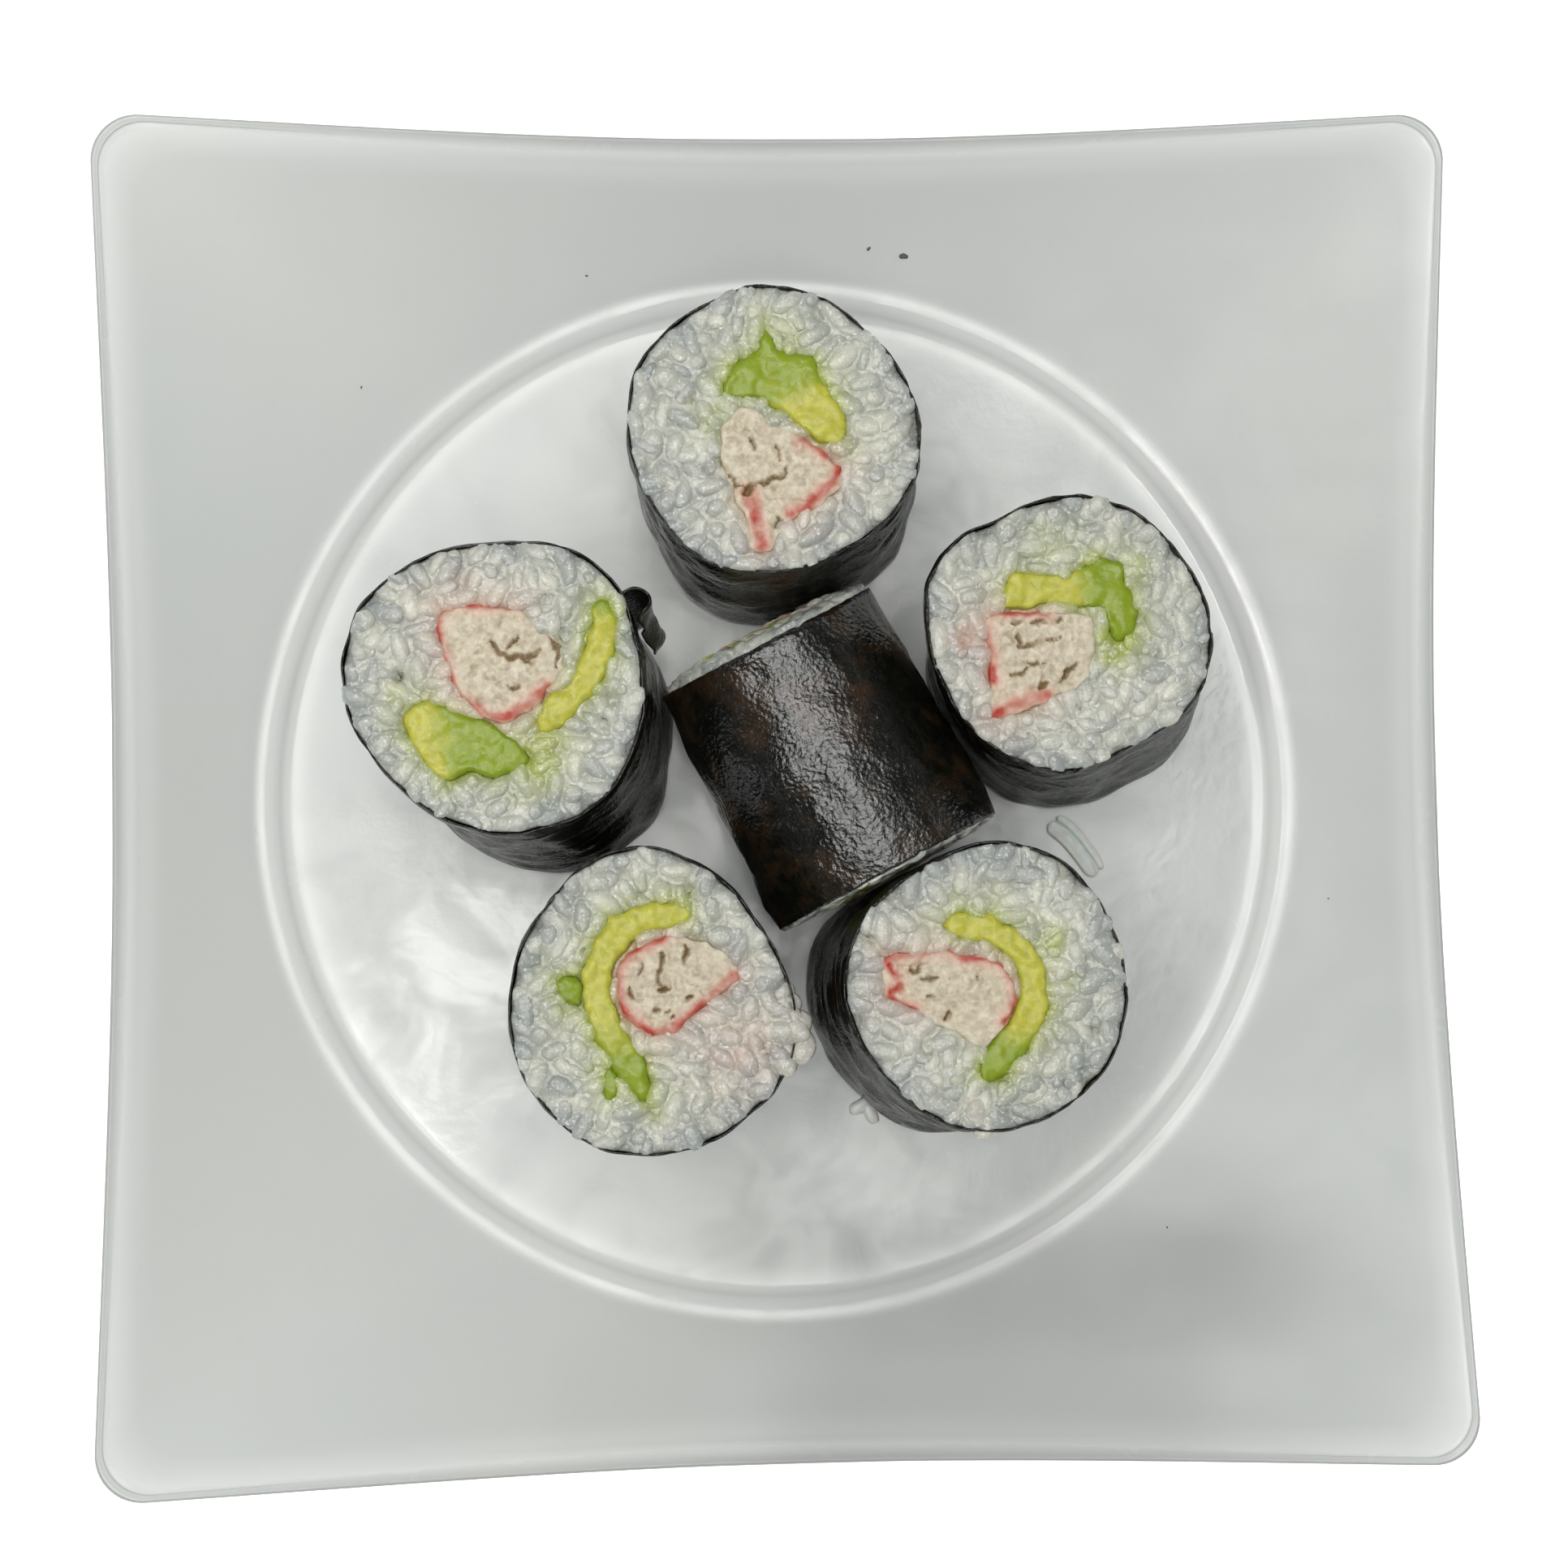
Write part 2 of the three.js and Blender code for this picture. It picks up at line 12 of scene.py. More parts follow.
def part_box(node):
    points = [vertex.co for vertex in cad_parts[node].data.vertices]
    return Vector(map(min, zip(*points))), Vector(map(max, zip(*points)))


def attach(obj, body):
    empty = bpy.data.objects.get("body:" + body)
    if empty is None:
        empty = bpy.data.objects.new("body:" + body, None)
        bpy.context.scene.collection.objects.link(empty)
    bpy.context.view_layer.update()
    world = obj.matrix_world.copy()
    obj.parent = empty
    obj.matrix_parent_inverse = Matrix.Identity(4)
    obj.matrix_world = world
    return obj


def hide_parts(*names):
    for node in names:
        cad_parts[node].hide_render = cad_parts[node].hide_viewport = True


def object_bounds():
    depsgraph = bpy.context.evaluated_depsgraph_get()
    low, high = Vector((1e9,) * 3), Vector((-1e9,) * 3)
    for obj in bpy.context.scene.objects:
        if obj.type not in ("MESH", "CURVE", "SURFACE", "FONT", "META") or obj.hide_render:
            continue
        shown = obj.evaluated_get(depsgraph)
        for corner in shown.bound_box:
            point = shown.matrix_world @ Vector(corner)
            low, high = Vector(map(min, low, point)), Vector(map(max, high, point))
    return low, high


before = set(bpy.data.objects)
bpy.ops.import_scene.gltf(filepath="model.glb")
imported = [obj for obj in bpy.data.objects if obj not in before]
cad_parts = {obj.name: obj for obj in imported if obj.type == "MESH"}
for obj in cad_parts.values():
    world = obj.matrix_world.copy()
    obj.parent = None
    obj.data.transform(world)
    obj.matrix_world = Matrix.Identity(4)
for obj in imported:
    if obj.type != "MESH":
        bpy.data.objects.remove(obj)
cad_low, cad_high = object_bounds()

# Lengths in the tables and functions below are in millimetres, and become metres in make_mesh.
MM = 0.001

# Camera
CAMERA_PLACE = (-20.0, -16.4, 398.3)
CAMERA_TARGET = (0.5, 1.8, 9.0)
CAMERA_ROLL = -0.95  # degrees, anticlockwise seen from behind the camera
CAMERA_LENS = 55.9
SENSOR = 36.0

# Lights, each with its place, target, size, power and colour. Dark cards between them and the plate, each
# with its middle and size, stand for the camera and the hands that held it. The room's light is given
# against the sine of the height over the horizon.
LIGHTS = {
    "ceiling": ((-100, 45, 1000), (-10, 0, 0), (720, 720), 9.2, (1.0, 0.995, 0.97)),
    "lamp": ((-130, -60, 1000), (-50, -28, 5), (120, 140), 0.45, (1, 1, 1)),
    "window": ((-380, 205, 1000), (85, 47, 12), (200, 200), 0.2, (0.97, 0.99, 1.0)),
}
CARDS = (((-10, 0, 450), (200, 170)), ((26, -82, 70), (92, 16)))
ROOM_LIGHT = ((0.0, 1.5), (0.14, 1.5), (0.3, 0.08), (0.66, 0.06), (0.9, 0.5))
ROOM_TINT = (0.95, 0.98, 1.0)
FLOOR_SIDE = 6000
FLOOR_SUNK = 0.05

# Plate, with the sizes of the solid
PLATE_SIDE = 210.0
PLATE_CORNER_RADIUS = 7.5
PLATE_WALL = 4.8
SIDE_BOW = 0.8
WELL_FLAT_RADIUS = 77.0
WELL_RADIUS = 83.0
WELL_FLOOR = 5.5
WELL_DEPTH = 2.4
WELL_CURVE = ((0.12, 0.01), (0.26, 0.07), (0.42, 0.25), (0.56, 0.53), (0.7, 0.79), (0.84, 0.94))  # out and up
RIM_RISE_SIDE = 10.1
RIM_RISE_CORNER = 20.1
FLANGE_HOLLOW = 0.25
LIP_WIDTH = 3.2
FOOT_RADIUS = 65.0
FOOT_WIDTH = 4.0
FOOT_HEIGHT = 2.0
RIM_SPARE = 0.12  # the rim's curve swells by this much past its points
PLATE_TURN_STEP = 2.0
CORNER_TURN_STEP = 0.35
CORNER_TURN_SPAN = 4.0
SECTION_STEPS = 5
# Painted highlights: white lines painted into the glaze's colour where the well's ring and the rim's lip
# catch the lights
RING_HIGHLIGHTS = ((78.8, 2.4, 0.8), (80.9, 1.5, 1.0), (82.7, 0.8, 1.0))  # radius, width and whiteness
EDGE_HIGHLIGHTS = ((2.7, 1.1, 0.65), (4.6, 2.0, 0.3))  # the same from the rim inwards

# Seaweed
SHEET_THICKNESS = 0.3
SHEET_TURNS = 300
SHEET_ROWS = 46
SHEET_TEARS = 5
FLAP_LINE = ((17.6, 12.3), (20.6, 13.7), (22.6, 12.2), (21.4, 9.0))  # from the left roll's middle
FLAP_HEIGHTS = (0.45, 0.95)  # shares of the roll's height
FLAP_ROWS = 14
FLAP_THICKNESS = 0.6  # to each side, against that of the sheet

# Rice. Layers of grains from the lowest up: how far each is sunk, and how closely its grains are
# pressed together, where 1 is side by side. Each layer tries places for grains of several sizes.
GRAIN_HALF = (2.8, 1.55, 1.25)
GRAIN_RINGS = 9
GRAIN_SIDES = 10
GRAIN_LAYERS = ((0.3, 0.6), (0.0, 0.66))
GRAIN_SIZES = ((1.05, 1500), (0.95, 2200), (0.72, 3000))
LOOSE_SIZE = (0.9, 1.25, 1.1)  # of grains that stick out, against the others
GRAIN_PLACES = 26  # places are tried this far to each side of the roll's middle
STEEP_SHARE = 0.12  # of the grains, which stand steeply in the rice and show a round end
GRAIN_WARP = 0.3
WARP_LENGTH = 2.2
GRAIN_TONE = 0.42  # how far one grain's grey differs from the next one's
CORE_SUNK = 0.06  # below the grains round about
CORE_INSET = 0.7  # from the seaweed, below the cut end
CORE_SPACING = 0.4
CORE_TURNS = 160
BED_STEP = 0.3
BED_SIDE = 54
BED_FLOOR = -2.0
TOP_SPARE = 0.9  # nothing stands out further than this over a standing roll's seaweed
CEILING_GAP = 0.02
SPILL = 0.6  # how far rice swells over the seaweed's cut edge in places
END_RINGS = 5  # rings of points along a core or filling, from 3 mm below one end to 3 mm over the other

# Rolls. The places are those of the solids: at is the middle of the upper end, and lines across the
# end start there. green gives a direction and where along it avocado turns from yellow to green.
# skin is where the crab stick's red skin runs, and cracks are gaps in it, with their half widths.
# smears and blushes are where avocado and crab stick have coloured the rice, each with its place, size
# and strength. pits are holes between the grains, and loose grains stick out over the edge, some at
# each place, with its height and their number.
ROLLS = {
    "back_roll": {
        "at": (-2.0, 52.8),
        "avocado": {"green": ((-0.4, 0.92), 2.5, 7.0)},
        "crab": {
            "skin": [((4.4, -1.6), (7.6, -3.6), (9.8, -6.2), (5.0, -11.4), (2.6, -12.6)),
                     ((-3.6, -9.4), (-2.6, -14.0), (-1.8, -17.2))],
            "bold": (0.35, 1.0),
            "cracks": [(0.22, (-9.5, -4.1), (-8.1, -4.9), (-5.8, -8.2), (-4.1, -8.9)),
                       (0.75, (-4.4, -9.4), (-3.2, -8.2)),
                       (0.26, (-2.8, -8.3), (-0.3, -7.4), (1.7, -6.8), (1.9, -5.5)),
                       (0.24, (-6.6, -8.9), (-7.0, -12.2), (-6.2, -16.2)),
                       (0.2, (-3.4, -0.4), (-2.6, -3.0)), (0.18, (0.4, -2.4), (1.4, -4.6)),
                       (0.35, (0.9, -14.4), (0.4, -13.0))],
        },
        "smears": [(-7.5, 1.5, 3.5, 0.5), (7.0, 4.5, 4.0, 0.45), (2.5, 14.0, 3.5, 0.4)],
        "blushes": [(4.0, -13.5, 3.5, 0.3)],
        "pits": [(-12.0, 4.4, 0.6), (-9.6, -5.6, 0.6), (-2.2, -17.6, 0.7), (-10.0, 0.6, 0.5)],
    },
    "left_roll": {
        "at": (-43.3, 16.0),
        "avocado_strip": {"green": ((0.3, 0.95), 13.0, 16.0), "swell": 0.45},
        "avocado_block": {"green": ((0.9, 0.3), -11.5, -8.0), "swell": 0.5},
        "crab": {
            "skin": [((3.4, 11.0), (-2.0, 11.2), (-8.2, 10.8), (-7.6, 4.0), (-5.8, -1.6), (-2.0, -4.4),
                      (1.0, -5.4), (4.5, -3.8), (7.6, -1.2))],
            "bold": (0.4,),
            "cracks": [(0.6, (-0.6, 5.8), (1.2, 3.9), (3.6, 3.6), (5.2, 2.2)),
                       (0.35, (1.8, -0.6), (3.7, -1.3)), (0.3, (3.2, 6.4), (2.2, 4.4)),
                       (0.55, (8.3, 6.6), (9.4, 4.5), (8.9, 2.0)), (0.25, (4.6, 3.0), (6.6, 4.2))],
        },
        "smears": [(6.0, -10.8, 4.4, 1.2), (2.0, -14.6, 3.2, 0.6), (-13.6, -3.0, 2.8, 0.6)],
        "blushes": [(-4.2, 12.8, 4.5, 0.3)],
        "pits": [(-14.0, 0.8, 0.6), (7.6, 11.8, 0.6), (13.4, -4.1, 0.7), (15.6, -6.4, 0.6), (10.6, 6.4, 1.0)],
    },
    "right_roll": {
        "at": (40.8, 22.6),
        "avocado": {"green": ((1.0, 0.1), 1.5, 6.0)},
        "crab": {
            "skin": [((-12.2, 1.4), (-11.4, -2.5), (-10.8, -7.5)), ((-10.5, 2.5), (-5.5, 2.9), (-2.5, 2.5)),
                     ((-11.2, -12.6), (-6.4, -10.8), (-3.2, -9.6))],
            "bold": (0.3, 0.25, 0.8),
            "cracks": [(0.5, (-7.2, -0.8), (-6.6, -2.2), (-7.2, -2.6)),
                       (0.28, (-6.8, -2.4), (-4.4, -1.9), (-0.8, -1.0)), (0.3, (-5.0, 1.2), (-2.6, 1.2)),
                       (0.18, (-7.6, 1.0), (-6.2, 1.2)), (0.2, (-1.4, 1.0), (-0.4, 1.2)),
                       (0.28, (-8.4, -6.6), (-6.4, -6.2), (-5.2, -5.0)),
                       (0.35, (-0.8, -7.6), (0.4, -6.6), (1.6, -5.0)), (0.6, (-3.8, -8.6), (-2.8, -7.6)),
                       (0.2, (-6.2, -4.6), (-3.0, -5.2))],
        },
        "smears": [(7.6, -1.4, 3.8, 1.2), (6.2, 3.8, 3.2, 0.8), (10.7, 8.8, 3.0, 0.5),
                   (-1.5, 11.5, 5.0, 0.35)],
        "blushes": [(-14.2, -1.2, 3.2, 0.55), (-9.0, -14.0, 3.0, 0.3)],
        "pits": [(-6.8, -15.6, 0.7), (-14.2, -15.0, 0.7), (9.6, -15.6, 0.6), (13.5, -3.4, 0.6),
                 (1.6, -12.0, 0.5)],
    },
    "front_left_roll": {
        "at": (-21.5, -32.0),
        "avocado": {"green": ((0.0, -1.0), 1.0, 9.0)},
        "avocado_bit_upper": {"green": ((0.0, -1.0), -9.0, -5.0)},
        "avocado_bit_lower": {"green": ((0.0, -1.0), 2.0, 6.0)},
        "crab": {
            "skin": [((3.0, 10.6), (-0.6, 9.0), (-3.5, 6.8), (-4.6, 3.5), (-3.8, -0.2), (-1.7, -2.6),
                      (1.5, -4.2), (4.5, -2.6), (8.5, 0.6), (12.6, 4.2))],
            "bold": (0.5,),
            "cracks": [(0.26, (1.7, 7.6), (2.0, 5.9), (1.6, 4.6), (2.1, 2.9)), (0.42, (1.2, 2.9), (2.9, 2.7)),
                       (0.18, (-1.0, 6.8), (-1.3, 5.0)), (0.42, (5.4, 9.0), (5.9, 7.5), (5.0, 5.9)),
                       (0.22, (0.6, -0.3), (1.2, -0.5)), (0.2, (2.3, -0.7), (2.9, -0.8)),
                       (0.25, (5.3, 0.8), (6.2, 1.3)), (0.2, (3.5, -1.6), (4.0, -1.4)),
                       (0.18, (-2.6, 3.2), (-2.2, 1.4))],
        },
        "smears": [(-12.0, 3.0, 3.0, 0.8), (-7.5, -9.0, 2.6, 0.6), (-4.0, 14.0, 3.0, 0.3)],
        "blushes": [(12.5, -6.0, 7.0, 0.4)],
        "pits": [(-1.3, 15.6, 0.7), (6.4, 16.8, 0.6), (-8.8, 8.4, 0.6), (0.9, -14.9, 0.6), (16.8, -6.4, 0.6)],
        "loose": [(20.6, -4.0, -1.5, 9), (19.6, -8.2, -1.6, 6), (19.8, 0.2, -1.6, 4)],
    },
    "front_right_roll": {
        "at": (28.6, -29.8),
        "avocado": {"green": ((-0.3, -1.0), 4.0, 10.0)},
        "crab": {
            "skin": [((-11.2, -3.4), (-15.0, -1.2), (-13.4, 0.6), (-15.2, 4.2), (-10.5, 4.8), (-6.6, 5.6),
                      (-3.4, 4.2), (1.4, 3.4), (3.8, 0.4), (3.6, -3.0), (2.2, -5.2))],
            "bold": (0.0,),
            "cracks": [(0.5, (-11.4, 2.1), (-10.5, 2.9)), (0.3, (-9.8, 1.3), (-8.0, 1.5)),
                       (0.4, (-6.6, -4.8), (-6.1, -3.6)), (0.18, (-9.6, -1.6), (-8.4, -1.4)),
                       (0.14, (-2.2, 1.6), (-1.8, 1.0))],
        },
        "smears": [(8.7, 6.2, 2.8, 0.7), (2.0, -12.6, 2.8, 0.7), (10.0, 0.0, 3.0, 0.4)],
        "blushes": [(-14.0, 3.0, 3.0, 0.35)],
        "pits": [(-17.7, 6.8, 0.6), (15.4, -6.8, 0.6), (11.4, -14.4, 0.7), (-9.6, -9.4, 0.5)],
        "loose": [(-1.8, -20.2, -2.0, 2)],
    },
    "middle_roll": {
        "at": (0.0, 0.0),
        "lying": True,
        "avocado": {"green": ((0.0, 1.0), -4.0, 8.0)},
        "crab": {
            "skin": [((-6.4, -4.0), (-6.0, 1.0), (-2.6, 4.4), (3.0, 5.0), (6.6, 2.2), (7.4, -3.0))],
            "bold": (0.4,),
            "cracks": [(0.4, (-2.0, -1.0), (2.0, 0.6)), (0.3, (1.0, -4.0), (3.0, -2.0))],
        },
    },
}
LYING_HEADING = 27.3
LYING_LENGTH = 40.0
LYING_SLANTS = (0.07, -0.035)
LYING_BULGE = (2.2, 1.0)  # how far the rice stands out past the seaweed at the far and the near end

# What lies loose on the plate: thin flakes of fish-stick film as lines with a width and a seed, scraps
# of rice as x, y and heading, and dark specks as x, y and half length
FLAKES = (
    (((43.6, -5.2), (46.0, -7.0), (48.6, -10.0), (51.0, -13.6)), 2.6, 301),
    (((45.0, -4.0), (47.5, -6.0), (50.0, -9.1), (52.2, -12.6)), 1.4, 302),
)
FLAKE_HALF = 0.12
SCRAPS = ((12.2, -50.0, 30), (13.6, -51.2, 110))
SCRAP_HALF = (1.9, 1.1, 0.5)
SPECKS = ((21.2, 87.0, 0.75), (15.6, 88.2, 0.4), (-66.0, 66.0, 0.25), (60.5, -70.0, 0.2), (-30.0, 84.0, 0.25),
          (88.0, -18.0, 0.2))

# Colours, linear
PORCELAIN = (0.70, 0.72, 0.69)
PORCELAIN_CLOUD = (0.68, 0.705, 0.685)
PORCELAIN_SPOT = (0.63, 0.65, 0.63)
# The next colour paints highlights on the well's ring and the rim
RING_HIGHLIGHT_WHITE = (0.97, 0.98, 0.96)
# The next colour paints shade on the rim's outer edge
BRIM_SHADE_GREY = (0.30, 0.30, 0.29)
NORI_BLACK = (0.005, 0.005, 0.004)
NORI_GREEN = (0.010, 0.011, 0.007)
NORI_BROWN = (0.036, 0.020, 0.009)
RICE_WHITE = (0.79, 0.78, 0.65)
RICE_MILKY = (0.58, 0.59, 0.50)
RICE_GREY = (0.38, 0.405, 0.385)
# The next colour paints glints on the rice
RICE_PAINTED_GLINT = (0.95, 0.96, 0.92)
RICE_GREEN = (0.45, 0.51, 0.10)
RICE_PINK = (0.72, 0.43, 0.33)
CRAB_CREAM = (0.88, 0.79, 0.62)
CRAB_SHADE = (0.66, 0.57, 0.42)
CRAB_PINK = (0.84, 0.46, 0.36)
CRAB_RED = (0.56, 0.065, 0.04)
# The next colour paints shade into the crab stick's cracks, seams and pits
CRAB_GAP_SHADE = (0.22, 0.14, 0.05)
AVOCADO_YELLOW = (0.68, 0.65, 0.08)
AVOCADO_DULL = (0.54, 0.53, 0.07)
AVOCADO_GREEN = (0.32, 0.42, 0.018)
AVOCADO_DARK = (0.20, 0.30, 0.01)
FLAKE_WHITE = (0.86, 0.86, 0.81)
FLAKE_GREY = (0.74, 0.75, 0.71)
CRUMB_DARK = (0.05, 0.05, 0.045)
CRUMB_BROWN = (0.16, 0.14, 0.10)
FLOOR_WHITE = (0.93, 0.93, 0.92)
FLOOR_SHADE = (0.92, 0.92, 0.91)


# Repeatable smooth noise between -1 and 1 at points in space
def wobble(points, seed):
    cell = np.floor(points).astype(np.int64)
    rest = points - cell
    ease = rest * rest * (3 - 2 * rest)
    total = np.zeros(len(points))
    for corner in range(8):
        step = np.array([corner & 1, corner >> 1 & 1, corner >> 2 & 1])
        at = cell + step
        mixed = at[:, 0] * 374761393 + at[:, 1] * 668265263 + at[:, 2] * 2147483647 + seed * 1274126177
        mixed = (mixed ^ (mixed >> 13)) * 1103515245 & 0x7FFFFFFF
        mixed = (mixed ^ (mixed >> 16)) & 0xFFFF
        total += np.prod(np.where(step, ease, 1 - ease), axis=1) * (mixed / 32767.5 - 1)
    return total


# The same in several directions at once
def wobbles(points, seed, count):
    return np.column_stack([wobble(points, seed + k) for k in range(count)])


def smooth_step(low, high, value):
    share = np.clip((value - low) / (high - low), 0, 1)
    return share * share * (3 - 2 * share)


# From 1 at no distance down towards 0
def fade(distance, length):
    return np.exp(-np.clip(distance, 0, None) / length)


# Points in space from points on a plane, at a height
def flat(points, height=0.0):
    return np.column_stack([points, np.broadcast_to(height, len(points))])


# Points in space round an upright line
def around(turn, reach, height=0.0):
    return flat(np.column_stack([reach * np.cos(turn), reach * np.sin(turn)]), height)


# Direction and distance of points from a middle
def polar(points, middle):
    reach = points - middle
    return np.arctan2(reach[:, 1], reach[:, 0]), np.hypot(*reach.T)


# Directions to the left of headings
def left_of(heading):
    return np.column_stack([-heading[:, 1], heading[:, 0]]) / np.hypot(*heading.T)[:, None]


# Distance from points to a line
def line_distance(points, line):
    line = np.asarray(line, dtype=float)
    best = np.full(len(points), 1e9)
    for a, along in zip(line, np.diff(line, axis=0)):
        share = np.clip(((points - a) @ along) / max(along @ along, 1e-12), 0, 1)
        best = np.minimum(best, np.hypot(*(points - a - share[:, None] * along).T))
    return best


# Distance from points inside an outline to it, below 0 outside
def depth_inside(points, outline):
    closed = np.vstack([outline, outline[:1]])
    inside = np.zeros(len(points), dtype=bool)
    for a, along in zip(closed, np.diff(closed, axis=0)):
        if along[1] != 0:
            crosses = (a[1] > points[:, 1]) != (a[1] + along[1] > points[:, 1])
            inside ^= crosses & (points[:, 0] < a[0] + (points[:, 1] - a[1]) * along[0] / along[1])
    distance = line_distance(points, closed)
    return np.where(inside, distance, -distance)


# A closed outline with its points evenly spaced, rounded a little, and anticlockwise
def even_outline(outline, spacing):
    closed = np.vstack([outline, outline[:1]])
    run = np.concatenate([[0], np.cumsum(np.hypot(*np.diff(closed, axis=0).T))])
    places = np.linspace(0, run[-1], max(12, int(run[-1] / spacing)), endpoint=False)
    even = np.column_stack([np.interp(places, run, closed[:, k]) for k in (0, 1)])
    even = (np.roll(even, 1, axis=0) + 2 * even + np.roll(even, -1, axis=0)) / 4
    x, y = even.T
    return even if (x * np.roll(y, -1) - np.roll(x, -1) * y).sum() > 0 else even[::-1]


# The outline with small dents and swellings
def ragged(outline, seed, swell):
    heading = np.roll(outline, -1, axis=0) - np.roll(outline, 1, axis=0)
    run = flat(outline)
    swell = swell + 0.4 * wobble(run / 2.2, seed + 60) + 0.22 * wobble(run / 1.0, seed + 61)
    return outline - left_of(heading) * swell[:, None]


# A smooth open line through a few points
def smooth_line(points, steps):
    points = np.asarray(points, dtype=float)
    padded = np.vstack([2 * points[0] - points[1], points, 2 * points[-1] - points[-2]])
    line = []
    for i in range(len(points) - 1):
        a, b, c, d = padded[i:i + 4]
        for share in np.arange(steps) / steps:
            line.append(0.5 * (2 * b + (c - a) * share + (2 * a - 5 * b + 4 * c - d) * share**2
                               + (3 * b - 3 * c + d - a) * share**3))
    line.append(points[-1])
    return np.array(line)


# A part is its points, its faces and, where its material asks for them, its weights. This joins several.
def join_parts(parts):
    points, faces, *weights = zip(*parts)
    starts = np.cumsum([0, *map(len, points)])
    joined = [[index + start for index in face] for start, group in zip(starts, faces) for face in group]
    return np.vstack(points), joined, *map(np.vstack, weights)


# A skin over a grid of points, rows by turns, closed round each row
def grid_faces(rows, turns, wrap_rows=False):
    faces = []
    for row in range(rows if wrap_rows else rows - 1):
        low, high = row * turns, ((row + 1) % rows) * turns
        faces.extend([low + i, low + (i + 1) % turns, high + (i + 1) % turns, high + i] for i in range(turns))
    return faces


# The same as a part, from rows of points, with a face over the first row and over the last
def tube(rows):
    count = len(rows[0])
    ends = [list(range(count))[::-1], [(len(rows) - 1) * count + i for i in range(count)]]
    return np.vstack(rows), grid_faces(len(rows), count) + ends


def add_object(name, data):
    thing = bpy.data.objects.new(name, data)
    bpy.context.scene.collection.objects.link(thing)
    return thing


# A mesh object from a part in millimetres, whose weights become a colour attribute
def make_mesh(name, material, points, faces, weights=None):
    mesh = bpy.data.meshes.new(name)
    mesh.from_pydata((np.asarray(points) * MM).tolist(), [], [list(map(int, face)) for face in faces])
    mesh.update()
    if weights is not None:
        layer = mesh.color_attributes.new("weights", "FLOAT_COLOR", "POINT")
        layer.data.foreach_set("color", flat(weights, 1.0).astype(np.float32).ravel())
    mesh.polygons.foreach_set("use_smooth", [True] * len(mesh.polygons))
    mesh.materials.append(material)
    return add_object(name, mesh)


# A piece of the object: it rides on the one body, takes its material and stands for nodes
def add_piece(name, material, part, slot, *nodes):
    piece = make_mesh(name, material, *part)
    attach(piece, "root")
    if nodes:
        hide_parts(*nodes)


# A level sheet of the studio
def add_stage(name, material, middle, size):
    (x, y, z), (side, depth) = middle, size
    corners = [(x + i * side / 2, y + j * depth / 2, z) for i, j in ((-1, -1), (1, -1), (1, 1), (-1, 1))]
    sheet = make_mesh(name, material, corners, [[0, 1, 2, 3]])
    return sheet


# A node with its settings, and its inputs linked or set
def put(tree, kind, inputs=(), **settings):
    node = tree.nodes.new(kind)
    for setting, value in settings.items():
        setattr(node, setting, value)
    for key, value in dict(inputs).items():
        socket = node.inputs[key]
        if isinstance(value, bpy.types.NodeSocket):
            tree.links.new(value, socket)
        else:
            socket.default_value = (*value, 1) if socket.type == "RGBA" else value
    return node


# A material and what its surface is made from. Sizes and depths are in millimetres.
class Shader:
    def __init__(self, name, **sockets):
        self.material = bpy.data.materials.new(name)
        self.material.use_nodes = True
        self.tree = self.material.node_tree
        self.surface = self.tree.nodes["Principled BSDF"]
        for socket, value in sockets.items():
            self.surface.inputs[socket.replace("_", " ")].default_value = value
        self.place = put(self.tree, "ShaderNodeTexCoord").outputs["Object"]

    def noise(self, size, detail=3.0, roughness=0.5, warp=0.0):
        inputs = {"Vector": self.place, "Scale": 1 / (size * MM), "Detail": detail, "Roughness": roughness,
                  "Distortion": warp}
        return put(self.tree, "ShaderNodeTexNoise", inputs).outputs["Fac"]

    # Noise whose range from low to high is taken to another range
    def patches(self, size, detail, roughness, low, high, to_low=0.0, to_high=1.0):
        return self.spread(self.noise(size, detail, roughness), low, high, to_low, to_high)

    def cells(self, size):
        inputs = {"Vector": self.place, "Scale": 1 / (size * MM)}
        return put(self.tree, "ShaderNodeTexVoronoi", inputs).outputs["Distance"]

    def spread(self, value, low, high, to_low=0.0, to_high=1.0):
        inputs = {"Value": value, "From Min": low, "From Max": high, "To Min": to_low, "To Max": to_high}
        return put(self.tree, "ShaderNodeMapRange", inputs).outputs["Result"]

    def sum(self, a, b):
        return put(self.tree, "ShaderNodeMath", {0: a, 1: b}).outputs[0]

    def mix(self, share, a, b):
        return put(self.tree, "ShaderNodeMix", {0: share, 6: a, 7: b}, data_type="RGBA").outputs[2]

    def weights(self):
        colour = put(self.tree, "ShaderNodeAttribute", attribute_name="weights").outputs["Color"]
        return put(self.tree, "ShaderNodeSeparateColor", {"Color": colour}).outputs[:3]

    def set(self, socket, value):
        self.tree.links.new(value, self.surface.inputs[socket])

    def bump(self, height, depth, strength=1.0, socket="Normal"):
        inputs = {"Height": height, "Distance": depth * MM, "Strength": strength}
        self.set(socket, put(self.tree, "ShaderNodeBump", inputs).outputs["Normal"])


